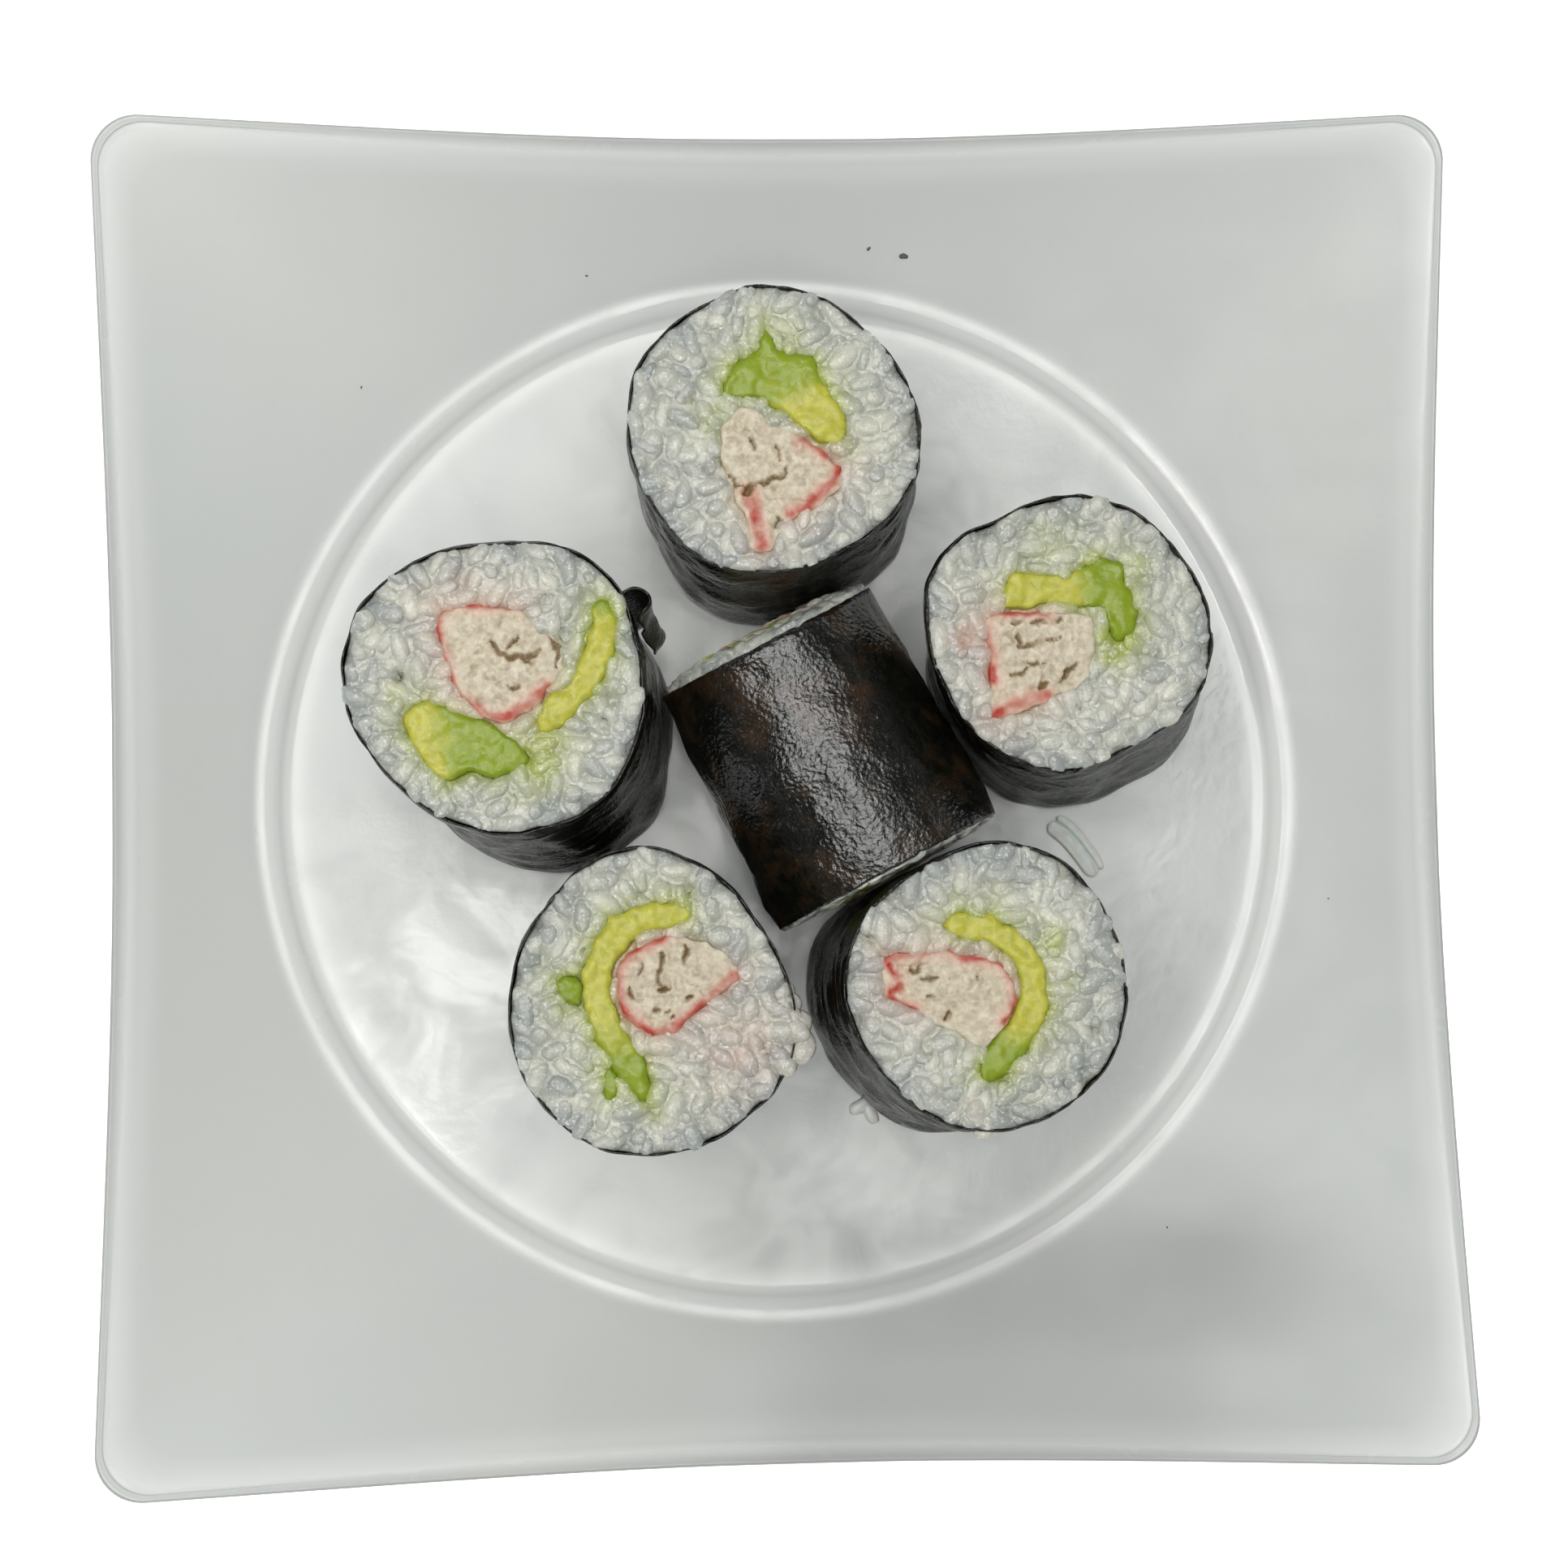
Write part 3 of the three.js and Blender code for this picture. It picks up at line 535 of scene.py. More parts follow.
def porcelain_material():
    shader = Shader("porcelain", IOR=1.5, Specular_IOR_Level=0.4)
    ring, flange, brim_shade = shader.weights()
    tone = shader.mix(shader.patches(60, 3, 0.5, 0.35, 0.65), PORCELAIN, PORCELAIN_CLOUD)
    spotted = shader.mix(shader.patches(3, 4, 0.5, 0.62, 0.8, 0, 0.2), tone, PORCELAIN_SPOT)
    # Base colour with painted white highlights on the ring and the rim, and painted grey shade on the rim's
    # outer edge
    shader.set("Base Color", shader.mix(brim_shade, shader.mix(ring, spotted, RING_HIGHLIGHT_WHITE), BRIM_SHADE_GREY))
    smears = shader.noise(16, 5, 0.65, warp=0.6)
    rough = shader.spread(smears, 0.4, 0.7, 0.12, 0.34)
    shader.set("Roughness", shader.sum(rough, shader.spread(shader.sum(flange, brim_shade), 0, 1, 0, 0.22)))
    shader.set("Coat Weight", shader.spread(flange, 0, 1, 0.1, 0.0))
    shader.set("Coat Roughness", shader.spread(smears, 0.42, 0.62, 0.04, 0.3))
    shader.bump(shader.sum(shader.noise(11, 2), shader.noise(2.2, 3)), 0.09, 0.6)
    return shader.material


def seaweed_material(name, patchy, sheen):
    shader = Shader(name, Specular_IOR_Level=sheen)
    patches = shader.patches(9, 4, 0.6, 0.48, 0.62, 0, patchy)
    dark = shader.mix(shader.patches(1.4, 3, 0.5, 0.4, 0.7), NORI_BLACK, NORI_GREEN)
    shader.set("Base Color", shader.mix(patches, dark, NORI_BROWN))
    shader.set("Roughness", shader.patches(1.6, 4, 0.7, 0.42, 0.6, 0.08, 0.24))
    shader.bump(shader.sum(shader.noise(0.6, 3, 0.5), shader.spread(shader.cells(0.8), 0, 1, 0, 0.5)), 0.16)
    return shader.material


def rice_material():
    shader = Shader("rice", Subsurface_Weight=0.08, Subsurface_Scale=0.8 * MM,
                    Subsurface_Radius=(1.0, 1.0, 0.8), Coat_Weight=1.0, Coat_Roughness=0.06, IOR=1.4)
    green, pink, rim = shader.weights()
    white = shader.mix(shader.patches(2.4, 4, 0.6, 0.4, 0.62), RICE_WHITE, RICE_MILKY)
    greened = shader.mix(green, shader.mix(rim, white, RICE_GREY), RICE_GREEN)
    tinted = shader.mix(pink, greened, RICE_PINK)
    # Painted glints: near-white specks mixed into the rice's colour, standing in for sparkles of light
    painted_glints = shader.patches(0.55, 1, 0.5, 0.6, 0.72, 0, 0.6)
    shader.set("Base Color", shader.mix(painted_glints, tinted, RICE_PAINTED_GLINT))
    shader.set("Roughness", shader.patches(1.5, 3, 0.5, 0.35, 0.65, 0.2, 0.42))
    shader.bump(shader.sum(shader.noise(0.7, 3, 0.65), shader.noise(1.5, 1)), 0.18, 0.8)
    shader.bump(shader.noise(0.5, 2), 0.3, 1.0, "Coat Normal")
    return shader.material


def crab_material():
    shader = Shader("crab_stick", Subsurface_Weight=0.2, Subsurface_Scale=1.2 * MM,
                    Subsurface_Radius=(1.0, 0.6, 0.4), Coat_Weight=0.15, Coat_Roughness=0.2, IOR=1.4)
    red, gap, pink = shader.weights()
    cream = shader.mix(shader.patches(1.4, 4, 0.65, 0.38, 0.62), CRAB_CREAM, CRAB_SHADE)
    skinned = shader.mix(red, shader.mix(pink, cream, CRAB_PINK), CRAB_RED)
    # Painted shade: dark brown in the cracks, seams and pits, over their real dents
    shader.set("Base Color", shader.mix(gap, skinned, CRAB_GAP_SHADE))
    shader.set("Roughness", shader.patches(1.2, 3, 0.5, 0.3, 0.7, 0.3, 0.5))
    shader.bump(shader.sum(shader.noise(0.5, 3, 0.6), shader.cells(0.8)), 0.11, 0.7)
    return shader.material


def avocado_material():
    shader = Shader("avocado", Subsurface_Weight=0.2, Subsurface_Scale=1.0 * MM,
                    Subsurface_Radius=(0.8, 1.0, 0.3), Coat_Weight=0.2, Coat_Roughness=0.18, IOR=1.4)
    green, dark, _ = shader.weights()
    yellow = shader.mix(shader.patches(1.3, 3, 0.5, 0.35, 0.7), AVOCADO_YELLOW, AVOCADO_DULL)
    shader.set("Base Color", shader.mix(dark, shader.mix(green, yellow, AVOCADO_GREEN), AVOCADO_DARK))
    shader.set("Roughness", shader.patches(1.6, 3, 0.5, 0.3, 0.7, 0.25, 0.45))
    shader.bump(shader.noise(0.7, 3, 0.6), 0.16, 0.8)
    return shader.material


def floor_material():
    shader = Shader("floor", Roughness=0.7, Emission_Color=(1, 1, 1, 1), Emission_Strength=0.55)
    shader.set("Base Color", shader.mix(shader.patches(400, 2, 0.5, 0.3, 0.7), FLOOR_WHITE, FLOOR_SHADE))
    return shader.material


def flake_material():
    shader = Shader("flake", Subsurface_Weight=0.3, Subsurface_Scale=1.0 * MM, Coat_Weight=0.3,
                    Coat_Roughness=0.2)
    shader.set("Base Color", shader.mix(shader.patches(1.5, 3, 0.5, 0.3, 0.7), FLAKE_WHITE, FLAKE_GREY))
    shader.set("Roughness", shader.patches(1.0, 3, 0.5, 0.3, 0.7, 0.3, 0.5))
    return shader.material


def crumb_material():
    shader = Shader("crumb", Roughness=0.5)
    shader.set("Base Color", shader.mix(shader.noise(0.8), CRUMB_DARK, CRUMB_BROWN))
    return shader.material


# How far the plate's rim is from its middle
def plate_reach(turn):
    half = PLATE_SIDE / 2
    far = max(abs(math.cos(turn)), abs(math.sin(turn)))
    near = min(abs(math.cos(turn)), abs(math.sin(turn)))
    straight = half / far
    corner_middle = half - PLATE_CORNER_RADIUS
    if straight * near <= corner_middle:
        return straight - SIDE_BOW * math.cos(math.pi * straight * near / PLATE_SIDE) ** 2 / far
    ahead = corner_middle * (far + near)
    return ahead + math.sqrt(PLATE_CORNER_RADIUS**2 - 2 * corner_middle**2 + ahead**2)


def flange_height(reach, share):
    half = PLATE_SIDE / 2
    corner_reach = half * math.sqrt(2) - (math.sqrt(2) - 1) * PLATE_CORNER_RADIUS
    to_corner = min(max((reach - half) / (corner_reach - half), 0), 1)
    rise = RIM_RISE_SIDE + (RIM_RISE_CORNER - RIM_RISE_SIDE) * to_corner
    return WELL_FLOOR + WELL_DEPTH + rise * ((1 - FLANGE_HOLLOW) * share + FLANGE_HOLLOW * share**2)


# The plate's section in one direction, from the well over the rim to the underside
def plate_section(turn):
    reach = plate_reach(turn) - RIM_SPARE
    width = reach - WELL_RADIUS
    rim = flange_height(reach, 1)
    well = [(far, WELL_FLOOR) for far in (0.01, 25, 50, 70, WELL_FLAT_RADIUS - 1)]
    well += [(WELL_FLAT_RADIUS + out * (WELL_RADIUS - WELL_FLAT_RADIUS), WELL_FLOOR + up * WELL_DEPTH)
             for out, up in WELL_CURVE]
    upper = [(WELL_RADIUS + share * width, flange_height(reach, share))
             for share in (0.03, 0.1, 0.3, 0.5, 0.7, 1 - LIP_WIDTH / width)]
    lip = [(reach - 0.5 * LIP_WIDTH, flange_height(reach, 1 - 0.5 * LIP_WIDTH / width) + 0.1),
           (reach - 0.22 * LIP_WIDTH, rim - 0.12), (reach - 0.06 * LIP_WIDTH, rim - 0.5), (reach, rim - 1.3),
           (reach - 0.1, rim - PLATE_WALL * 0.6), (reach - 1.0, rim - PLATE_WALL * 0.92)]
    lower = [(WELL_RADIUS + share * width, flange_height(reach, share) - PLATE_WALL)
             for share in (0.8, 0.55, 0.3)]
    inner = FOOT_RADIUS - FOOT_WIDTH
    foot = [(FOOT_RADIUS + 6, FOOT_HEIGHT + 0.7), (FOOT_RADIUS + 1, FOOT_HEIGHT), (FOOT_RADIUS, 0.3),
            (FOOT_RADIUS - 0.3, 0.0), (inner + 0.3, 0.0), (inner, 0.3), (inner - 1, FOOT_HEIGHT),
            (30, FOOT_HEIGHT), (0.01, FOOT_HEIGHT)]
    return well + upper + lip + lower + foot


# The directions of the plate's sections, closer together at its corners
def plate_turns():
    turns = set(np.arange(0, 360, PLATE_TURN_STEP).round(3))
    for corner in (45, 135, 225, 315):
        turns |= set((corner + np.arange(-CORNER_TURN_SPAN, CORNER_TURN_SPAN, CORNER_TURN_STEP)).round(3))
    return np.radians(sorted(turns))


def make_plate(material):
    turns = plate_turns()
    lines = [smooth_line(plate_section(turn), SECTION_STEPS) for turn in turns]
    rows = [[(line[row, 0] * math.cos(turn), line[row, 0] * math.sin(turn), max(line[row, 1], 0))
             for turn, line in zip(turns, lines)] for row in reversed(range(len(lines[0])))]
    points, faces = tube(rows)
    far = np.hypot(*points[:, :2].T)
    to_edge = np.tile([plate_reach(turn) for turn in turns], len(rows)) - far
    # Weights: painted highlights in white along the ring and the rim, the flange, and painted shade on the
    # rim's outer edge
    white = [np.exp(-((off - place) / width) ** 2) * level
             for off, shines in ((far, RING_HIGHLIGHTS), (to_edge, EDGE_HIGHLIGHTS)) for place, width, level in shines]
    flange = smooth_step(WELL_RADIUS - 1, WELL_RADIUS + 2, far) * smooth_step(2.0, 3.5, to_edge)
    weights = np.column_stack([np.maximum.reduce(white), flange, smooth_step(1.2, 0.25, to_edge)])
    add_piece("plate_glazed", material, (points, faces, weights), "porcelain", "plate")


# Cuts a node of the frame by a plane across a roll and returns the closed outlines there, longest first
def outlines_at(node, into, height):
    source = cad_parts[node]
    body = bmesh.new()
    body.from_mesh(source.data)
    bmesh.ops.remove_doubles(body, verts=body.verts[:], dist=1e-7)
    body.transform(into @ source.matrix_world)
    everything = body.verts[:] + body.edges[:] + body.faces[:]
    cut = bmesh.ops.bisect_plane(body, geom=everything, plane_co=(0, 0, height * MM), plane_no=(0, 0, 1))
    links = {}
    for edge in (item for item in cut["geom_cut"] if isinstance(item, bmesh.types.BMEdge)):
        a, b = edge.verts
        links.setdefault(a, []).append(b)
        links.setdefault(b, []).append(a)
    found = []
    while links:
        here = next(iter(links))
        chain = [here]
        while ahead := [other for other in links.pop(here) if other in links]:
            here = ahead[0]
            chain.append(here)
        if len(chain) > 5:
            found.append(np.array([(spot.co.x / MM, spot.co.y / MM) for spot in chain]))
    body.free()
    return sorted(found, key=lambda chain: -np.hypot(*np.diff(chain, axis=0).T).sum())


# One roll, measured on its solids. Across it, x and y are in millimetres; its height runs along it.
class Roll:
    def __init__(self, name, facts, seed):
        self.name, self.facts, self.seed = name, facts, seed
        self.fillings = {key: value for key, value in facts.items() if isinstance(value, dict)}
        self.at = np.array(facts["at"])
        self.lying = facts.get("lying", False)
        low, high = (np.array(corner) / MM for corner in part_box(f"{name}_seaweed"))
        if self.lying:
            turn = math.radians(LYING_HEADING)
            across = Vector((math.cos(turn), math.sin(turn), 0))
            along = Vector((math.sin(turn), -math.cos(turn), 0))
            self.out = Matrix((across, (0, 0, 1), along)).transposed().to_4x4()
            self.out.translation = Vector((low + high) / 2 * MM)
            self.bottom, self.top, self.slants = -LYING_LENGTH / 2, LYING_LENGTH / 2, LYING_SLANTS
            self.ceiling = cad_high[2] / MM - CEILING_GAP
        else:
            self.out = Matrix.Identity(4)
            self.bottom, self.top, self.slants = low[2], high[2], (0, 0)
            self.ceiling = self.top + TOP_SPARE - CEILING_GAP
        self.into = self.out.inverted()
        self.levels = np.array([self.bottom + 2.0, (self.bottom + self.top) / 2, self.top - 2.0])
        self.turns = np.radians(np.arange(0, 360, 1.0))
        self.middles, self.reaches = map(np.array, zip(*[self.measure(level) for level in self.levels]))
        self.centre, self.radius = self.middles[2], self.reaches[2].mean()

    # The middle of the seaweed at a level, and how far its inside is from there in each direction
    def measure(self, level):
        inner = outlines_at(f"{self.name}_seaweed", self.into, level)[1]
        middle = (inner.min(axis=0) + inner.max(axis=0)) / 2
        turn, far = polar(inner, middle)
        order = np.argsort(turn)
        reach = np.interp(self.turns, turn[order], far[order], period=2 * math.pi)
        blur = np.exp(-0.5 * (np.arange(-15, 16) / 6.0) ** 2)
        padded = np.concatenate([reach[-15:], reach, reach[:15]])
        return middle, np.convolve(padded, blur / blur.sum(), "valid")

    def middle(self, height):
        return np.column_stack([np.interp(height, self.levels, self.middles[:, k]) for k in (0, 1)])

    # Distance from the roll's middle to the seaweed's inside
    def wall(self, turn, height):
        rows = np.array([np.interp(turn, self.turns, reach, period=2 * math.pi) for reach in self.reaches])
        share = np.interp(np.broadcast_to(height, len(turn)), self.levels, [0, 1, 2])
        first = np.clip(share.astype(int), 0, 1)
        picks = np.arange(len(share))
        reach = rows[first, picks] + (rows[first + 1, picks] - rows[first, picks]) * (share - first)
        run = around(turn, reach, height)
        uneven = 0.34 * wobble(run / (3.6, 3.6, 5.0), self.seed)
        uneven += 0.3 * wobble(run / (8.0, 8.0, 12.0), self.seed + 1)
        return reach - 0.3 + 0.4 * uneven if self.lying else reach + uneven

    # Distance from points across the upper end to the seaweed
    def to_wall(self, points):
        turn, far = polar(points, self.centre)
        return self.wall(turn, self.top) - far

    # Where rice swells over the cut edge, from 0 to 1
    def spill(self, turn):
        if self.lying:
            return np.zeros(len(turn))
        return smooth_step(-0.15, 0.35, wobble(around(turn, 4.2, 0.5), self.seed + 2))

    # Takes points across the upper end to where they lie at a height
    def carry(self, points, height):
        size = np.interp(height, self.levels, self.reaches.mean(axis=1) / self.radius)
        return self.middle(height) + (points - self.centre) * np.reshape(size, (-1, 1))

    # Turns points across the roll and their height into points of the whole part. The height is that
    # of a square-cut roll, and the slant of the cut ends is added here.
    def world(self, across, height):
        share = (height - self.bottom) / (self.top - self.bottom)
        slant = self.slants[0] * (1 - share) + self.slants[1] * share
        local = flat(across, height + across[:, 1] * slant)
        placed = local @ np.array(self.out.to_3x3()).T + np.array(self.out.translation) / MM
        placed[:, 2] = np.minimum(placed[:, 2], self.ceiling)
        return placed


# Seaweed round a roll: a thin sheet with wrinkles, and a ragged cut edge
def make_seaweed(roll, material):
    rng = np.random.default_rng(roll.seed)
    turns = np.linspace(0, 2 * math.pi, SHEET_TURNS, endpoint=False)
    edge = 0.35 * wobble(around(turns, 5), roll.seed) + 0.25 * wobble(around(turns, 22), roll.seed + 1)
    for tear in rng.uniform(0, 2 * math.pi, SHEET_TEARS):
        gap = np.angle(np.exp(1j * (turns - tear)))
        edge -= rng.uniform(0.5, 1.3) * np.exp(-(gap / rng.uniform(0.02, 0.06)) ** 2)
    edge -= 0.7 * roll.spill(turns)
    if roll.lying:
        edge *= 0.3
    curl = 0.25 * wobble(np.column_stack([turns * 5, turns * 0 + 3.3, turns * 0]), roll.seed + 2)
    length = roll.top - roll.bottom
    shares = np.linspace(0, 1, SHEET_ROWS)
    outside, inside = [], []
    for share in 0.5 * shares + 0.5 * (1 - (1 - shares) ** 2):
        height = roll.bottom + share * length
        from_edge = (1 - share) * length
        raised = height + edge * math.exp(-from_edge / 2)
        if roll.lying:
            raised = raised - edge * math.exp(-share * length / 2)
        reach = roll.wall(turns, height)
        relief = sheet_relief(roll, around(turns, reach, height))
        reach = reach + relief * (1 - 0.5 * math.exp(-from_edge / 1.0)) + curl * math.exp(-from_edge / 1.2)
        for skin, offset in ((outside, SHEET_THICKNESS), (inside, 0.0)):
            skin.append(roll.world(roll.middle(height) + around(turns, reach + offset)[:, :2], raised))
    rows = outside + inside[::-1]
    parts = [(np.vstack(rows), grid_faces(len(rows), SHEET_TURNS, wrap_rows=True))]
    if roll.name == "left_roll":
        parts.append(loose_end(roll))
    add_piece(f"{roll.name}_seaweed_sheet", material, join_parts(parts), "seaweed", f"{roll.name}_seaweed")


# How far the sheet stands out from the rice: wrinkles that run round a standing roll, or a crinkled
# surface on the lying one, over the low bumps of the rice beneath
def sheet_relief(roll, run):
    seed = roll.seed
    bumps = 0.3 * wobble(run / 5.0, seed + 4) + 0.1
    if roll.lying:
        return 0.9 * bumps + (0.16 * wobble(run / 2.3, seed + 5) + 0.07 * wobble(run / 0.9, seed + 6))
    height = run[:, 2] + 1.6 * wobble(run / 14.0, seed + 7)
    folds = wobble(flat(run[:, :2] / 9.0, height / 1.3), seed + 8)
    return bumps + 0.26 * folds + 0.12 * wobble(flat(run[:, :2] / 4.0, height / 0.6), seed + 9)


# The loose end of the sheet on the left roll
def loose_end(roll):
    line = smooth_line(FLAP_LINE, 8) + roll.at
    side = left_of(np.gradient(line, axis=0))
    thick = side * SHEET_THICKNESS * FLAP_THICKNESS
    rows = []
    for height in np.linspace(*FLAP_HEIGHTS, FLAP_ROWS) * (roll.top - roll.bottom) + roll.bottom:
        bend = 0.9 * wobble(flat(line, height) / 3.5, 77) * np.linspace(0, 1, len(line))
        across = roll.carry(line, height) + side * bend[:, None]
        ring = np.vstack([across + thick, (across - thick)[::-1]])
        rows.append(roll.world(ring, height + 0.8 * wobble(flat(ring / 2.5, height / 9), 78)))
    return tube(rows)


# Triangles that fill an outline, with inner points about a spacing apart. The outline's own points
# come first.
def fill_outline(outline, spacing, rng):
    low, high = outline.min(axis=0), outline.max(axis=0)
    xs = np.arange(low[0], high[0], spacing)
    ys = np.arange(low[1], high[1], spacing * 0.87)
    inner = np.array([(x + (row % 2) * spacing / 2, y) for row, y in enumerate(ys) for x in xs])
    inner = inner + rng.uniform(-0.22, 0.22, inner.shape) * spacing
    inner = inner[depth_inside(inner, outline) > spacing * 0.45]
    loop = list(range(len(outline)))
    spots = [Vector(spot) for spot in np.vstack([outline, inner])]
    places, _, faces, origins, _, _ = delaunay_2d_cdt(spots, [], [loop], 1, 1e-6)
    new_index = {old: place for place, origin in enumerate(origins) for old in origin}
    order = [new_index[i] for i in loop]
    order += sorted(set(range(len(places))) - set(order))
    back = {place: i for i, place in enumerate(order)}
    return np.array([tuple(places[i]) for i in order]), [[back[i] for i in face] for face in faces]


# A part that runs through a roll below a shaped upper face. The face comes from fill_outline, with as
# many points in its outline as count says, and rises are its points' heights over the roll's lower and
# upper ends. Only a lying roll has a shaped face at both ends.
def run_through(roll, count, across, faces, rises, weights, inset=0.0):
    border, border_weights = across[:count], weights[:count]
    inner = roll.centre + (border - roll.centre) * (1 - inset / roll.radius)
    rows = [roll.world(roll.carry(across, roll.top), roll.top + rises[1])]
    for height in np.linspace(roll.top - 3, roll.bottom + 3, END_RINGS):
        rows.append(roll.world(roll.carry(inner, height), height))
    if roll.lying:
        last_faces, last_weights = faces, weights
        rows.append(roll.world(roll.carry(across, roll.bottom), roll.bottom - rises[0]))
    else:
        last_faces, last_weights = [range(count)], border_weights
        rows.append(roll.world(roll.carry(inner, roll.bottom), roll.bottom + 0.1))
    starts = np.cumsum([0, *map(len, rows[:-1])])
    skin = [list(face) for face in faces]
    for upper, lower in zip(starts, starts[1:]):
        for i in range(count):
            j = (i + 1) % count
            skin.append([upper + i, lower + i, lower + j, upper + j])
    skin += [[index + starts[-1] for index in reversed(face)] for face in last_faces]
    return np.vstack(rows), skin, np.vstack([weights, *[border_weights] * END_RINGS, last_weights])


# How far the rice at an end of the lying roll swells out
def end_bulge(roll, across, end):
    if not roll.lying:
        return np.zeros(len(across))
    reach = polar(across, roll.centre)[1] / roll.radius
    return LYING_BULGE[end] * (0.35 + 0.65 * (1 - np.clip(reach, 0, 1) ** 4))


# The cut end of a piece of avocado: how far its points rise, and how green and how dark they are
def avocado_end(roll, facts, across, depth, seed):
    run = flat(across)
    rise = -0.05 - 0.25 * fade(depth, 0.35) + 0.2 * wobble(run / 2.6, seed)
    rise += 0.2 * wobble(run / 1.1, seed + 1) + 0.12 * wobble(run / 0.6, seed + 4)
    way, start, end = facts["green"]
    green = smooth_step(start, end, (across - roll.at) @ way + 1.6 * wobble(run / 2.5, seed + 2))
    dark = 0.55 * smooth_step(1.2, 0.1, depth) + 0.25 * smooth_step(0.2, 0.8, wobble(run / 1.6, seed + 3))
    dark = np.clip(green * dark, 0, 1)
    green = np.clip(green + 0.25 * smooth_step(0.6, 0.0, depth), 0, 1)
    return rise, np.column_stack([green, dark, 0 * dark])


# How open a crack is at points near it, from 0 to 1: widest in its middle, ragged, and thin at its ends
def crack(points, half, line, seed):
    line = smooth_line(line, 6)
    run = flat(points)
    shift = 0.5 * wobbles(run / 1.2, seed, 2) + 0.14 * wobbles(run / 0.6, seed + 2, 2)
    off = np.hypot(*(points[:, None] + shift[:, None] - line).transpose(2, 0, 1))
    share = off.argmin(axis=1) / (len(line) - 1)
    width = 0.82 * half * (0.3 + 0.7 * np.sin(math.pi * share)) * (1 + 0.7 * wobble(run / 0.9, seed + 4))
    return smooth_step(width + 0.22, width * 0.4, off.min(axis=1))


# The cut end of a crab stick: how far its points rise, and how red, how open and how pink they are. How open
# it is also paints shade into the dented cracks, seams and pits.
def crab_end(roll, facts, across, depth, seed):
    local, run = across - roll.at, flat(across)
    red, gap, near_skin = np.zeros(len(across)), np.zeros(len(across)), np.full(len(across), 1e9)
    for line, bold in zip(facts["skin"], facts["bold"]):
        off = line_distance(local, smooth_line(line, 4))
        off = off + 0.28 * wobble(run / 1.3, seed) + 0.14 * wobble(run / 0.6, seed + 3)
        width = 0.35 + 0.6 * bold
        red = np.maximum(red, smooth_step(width + 0.55, width * 0.25, off))
        near_skin = np.minimum(near_skin, off)
    red = np.clip(red * (0.82 + 0.5 * wobble(run / 1.8, seed + 7)), 0, 1)
    pink = 0.7 * smooth_step(2.6, 0.2, near_skin) * (0.8 + 0.35 * wobble(run / 2.5, seed + 1))
    for number, (half, *line) in enumerate(facts["cracks"]):
        gap = np.maximum(gap, crack(local, half, line, seed + 10 * number))
    seams = smooth_step(0.14, 0.0, np.abs(wobble(run / (1.9, 1.3, 1.0), seed + 12)))
    seams *= smooth_step(-0.1, 0.4, wobble(run / 3.0, seed + 13)) * smooth_step(0.3, 1.2, depth)
    pits = smooth_step(0.2, 0.6, wobble(run / 0.5, seed + 4)) * smooth_step(0.4, 1.2, depth)
    pits *= smooth_step(-0.1, 0.3, wobble(run / 1.8, seed + 9))
    rise = 0.1 + 0.3 * wobble(run / 1.5, seed + 5) + 0.15 * wobble(run / 0.7, seed + 6)
    rise = np.minimum(rise - 0.3 * fade(depth, 0.4), 0.5) - 1.5 * gap - 0.3 * pits - 0.35 * seams
    # The second weight paints shade into the dents of the cracks, pits and seams
    return rise, np.clip(np.column_stack([red, gap + 0.15 * pits + 0.35 * seams, pink]), 0, 1)


# A piece of avocado or crab stick: what its name ends in, the spacing of its points and its cut end
FILLINGS = {"avocado": ("flesh", 0.5, avocado_end), "crab": ("stick", 0.3, crab_end)}


def make_filling(roll, filling, facts, outline, seed, materials):
    kind = filling.split("_")[0]
    ending, spacing, cut_end = FILLINGS[kind]
    across, faces = fill_outline(outline, spacing, np.random.default_rng(seed))
    rise, weights = cut_end(roll, facts, across, depth_inside(across, outline), seed)
    rises = [rise + end_bulge(roll, across, end) for end in (0, 1)]
    part = run_through(roll, len(outline), across, faces, rises, weights)
    add_piece(f"{roll.name}_{filling}_{ending}", materials[kind], part, kind, f"{roll.name}_{filling}")


# The points and faces of one grain of rice, half lengths one
def grain_form():
    points = [(-1, 0, 0)]
    for ring in range(1, GRAIN_RINGS):
        along = math.pi * ring / GRAIN_RINGS
        blunt = math.sin(along) ** 0.8
        for side in range(GRAIN_SIDES):
            turn = 2 * math.pi * side / GRAIN_SIDES
            points.append((-math.cos(along), blunt * math.cos(turn), blunt * math.sin(turn)))
    points.append((1, 0, 0))
    last = len(points) - 1
    tail = last - GRAIN_SIDES
    faces = [[0, 1 + (i + 1) % GRAIN_SIDES, 1 + i] for i in range(GRAIN_SIDES)]
    faces += [[1 + index for index in face] for face in grid_faces(GRAIN_RINGS - 1, GRAIN_SIDES)]
    faces += [[last, tail + i, tail + (i + 1) % GRAIN_SIDES] for i in range(GRAIN_SIDES)]
    return np.array(points), faces


# Turns points about the upright line, after tipping them
def turned(points, heading, tilt=0.0):
    turn = Matrix.Rotation(heading, 3, "Z") @ Matrix.Rotation(tilt, 3, "Y")
    return points @ np.array(turn).T


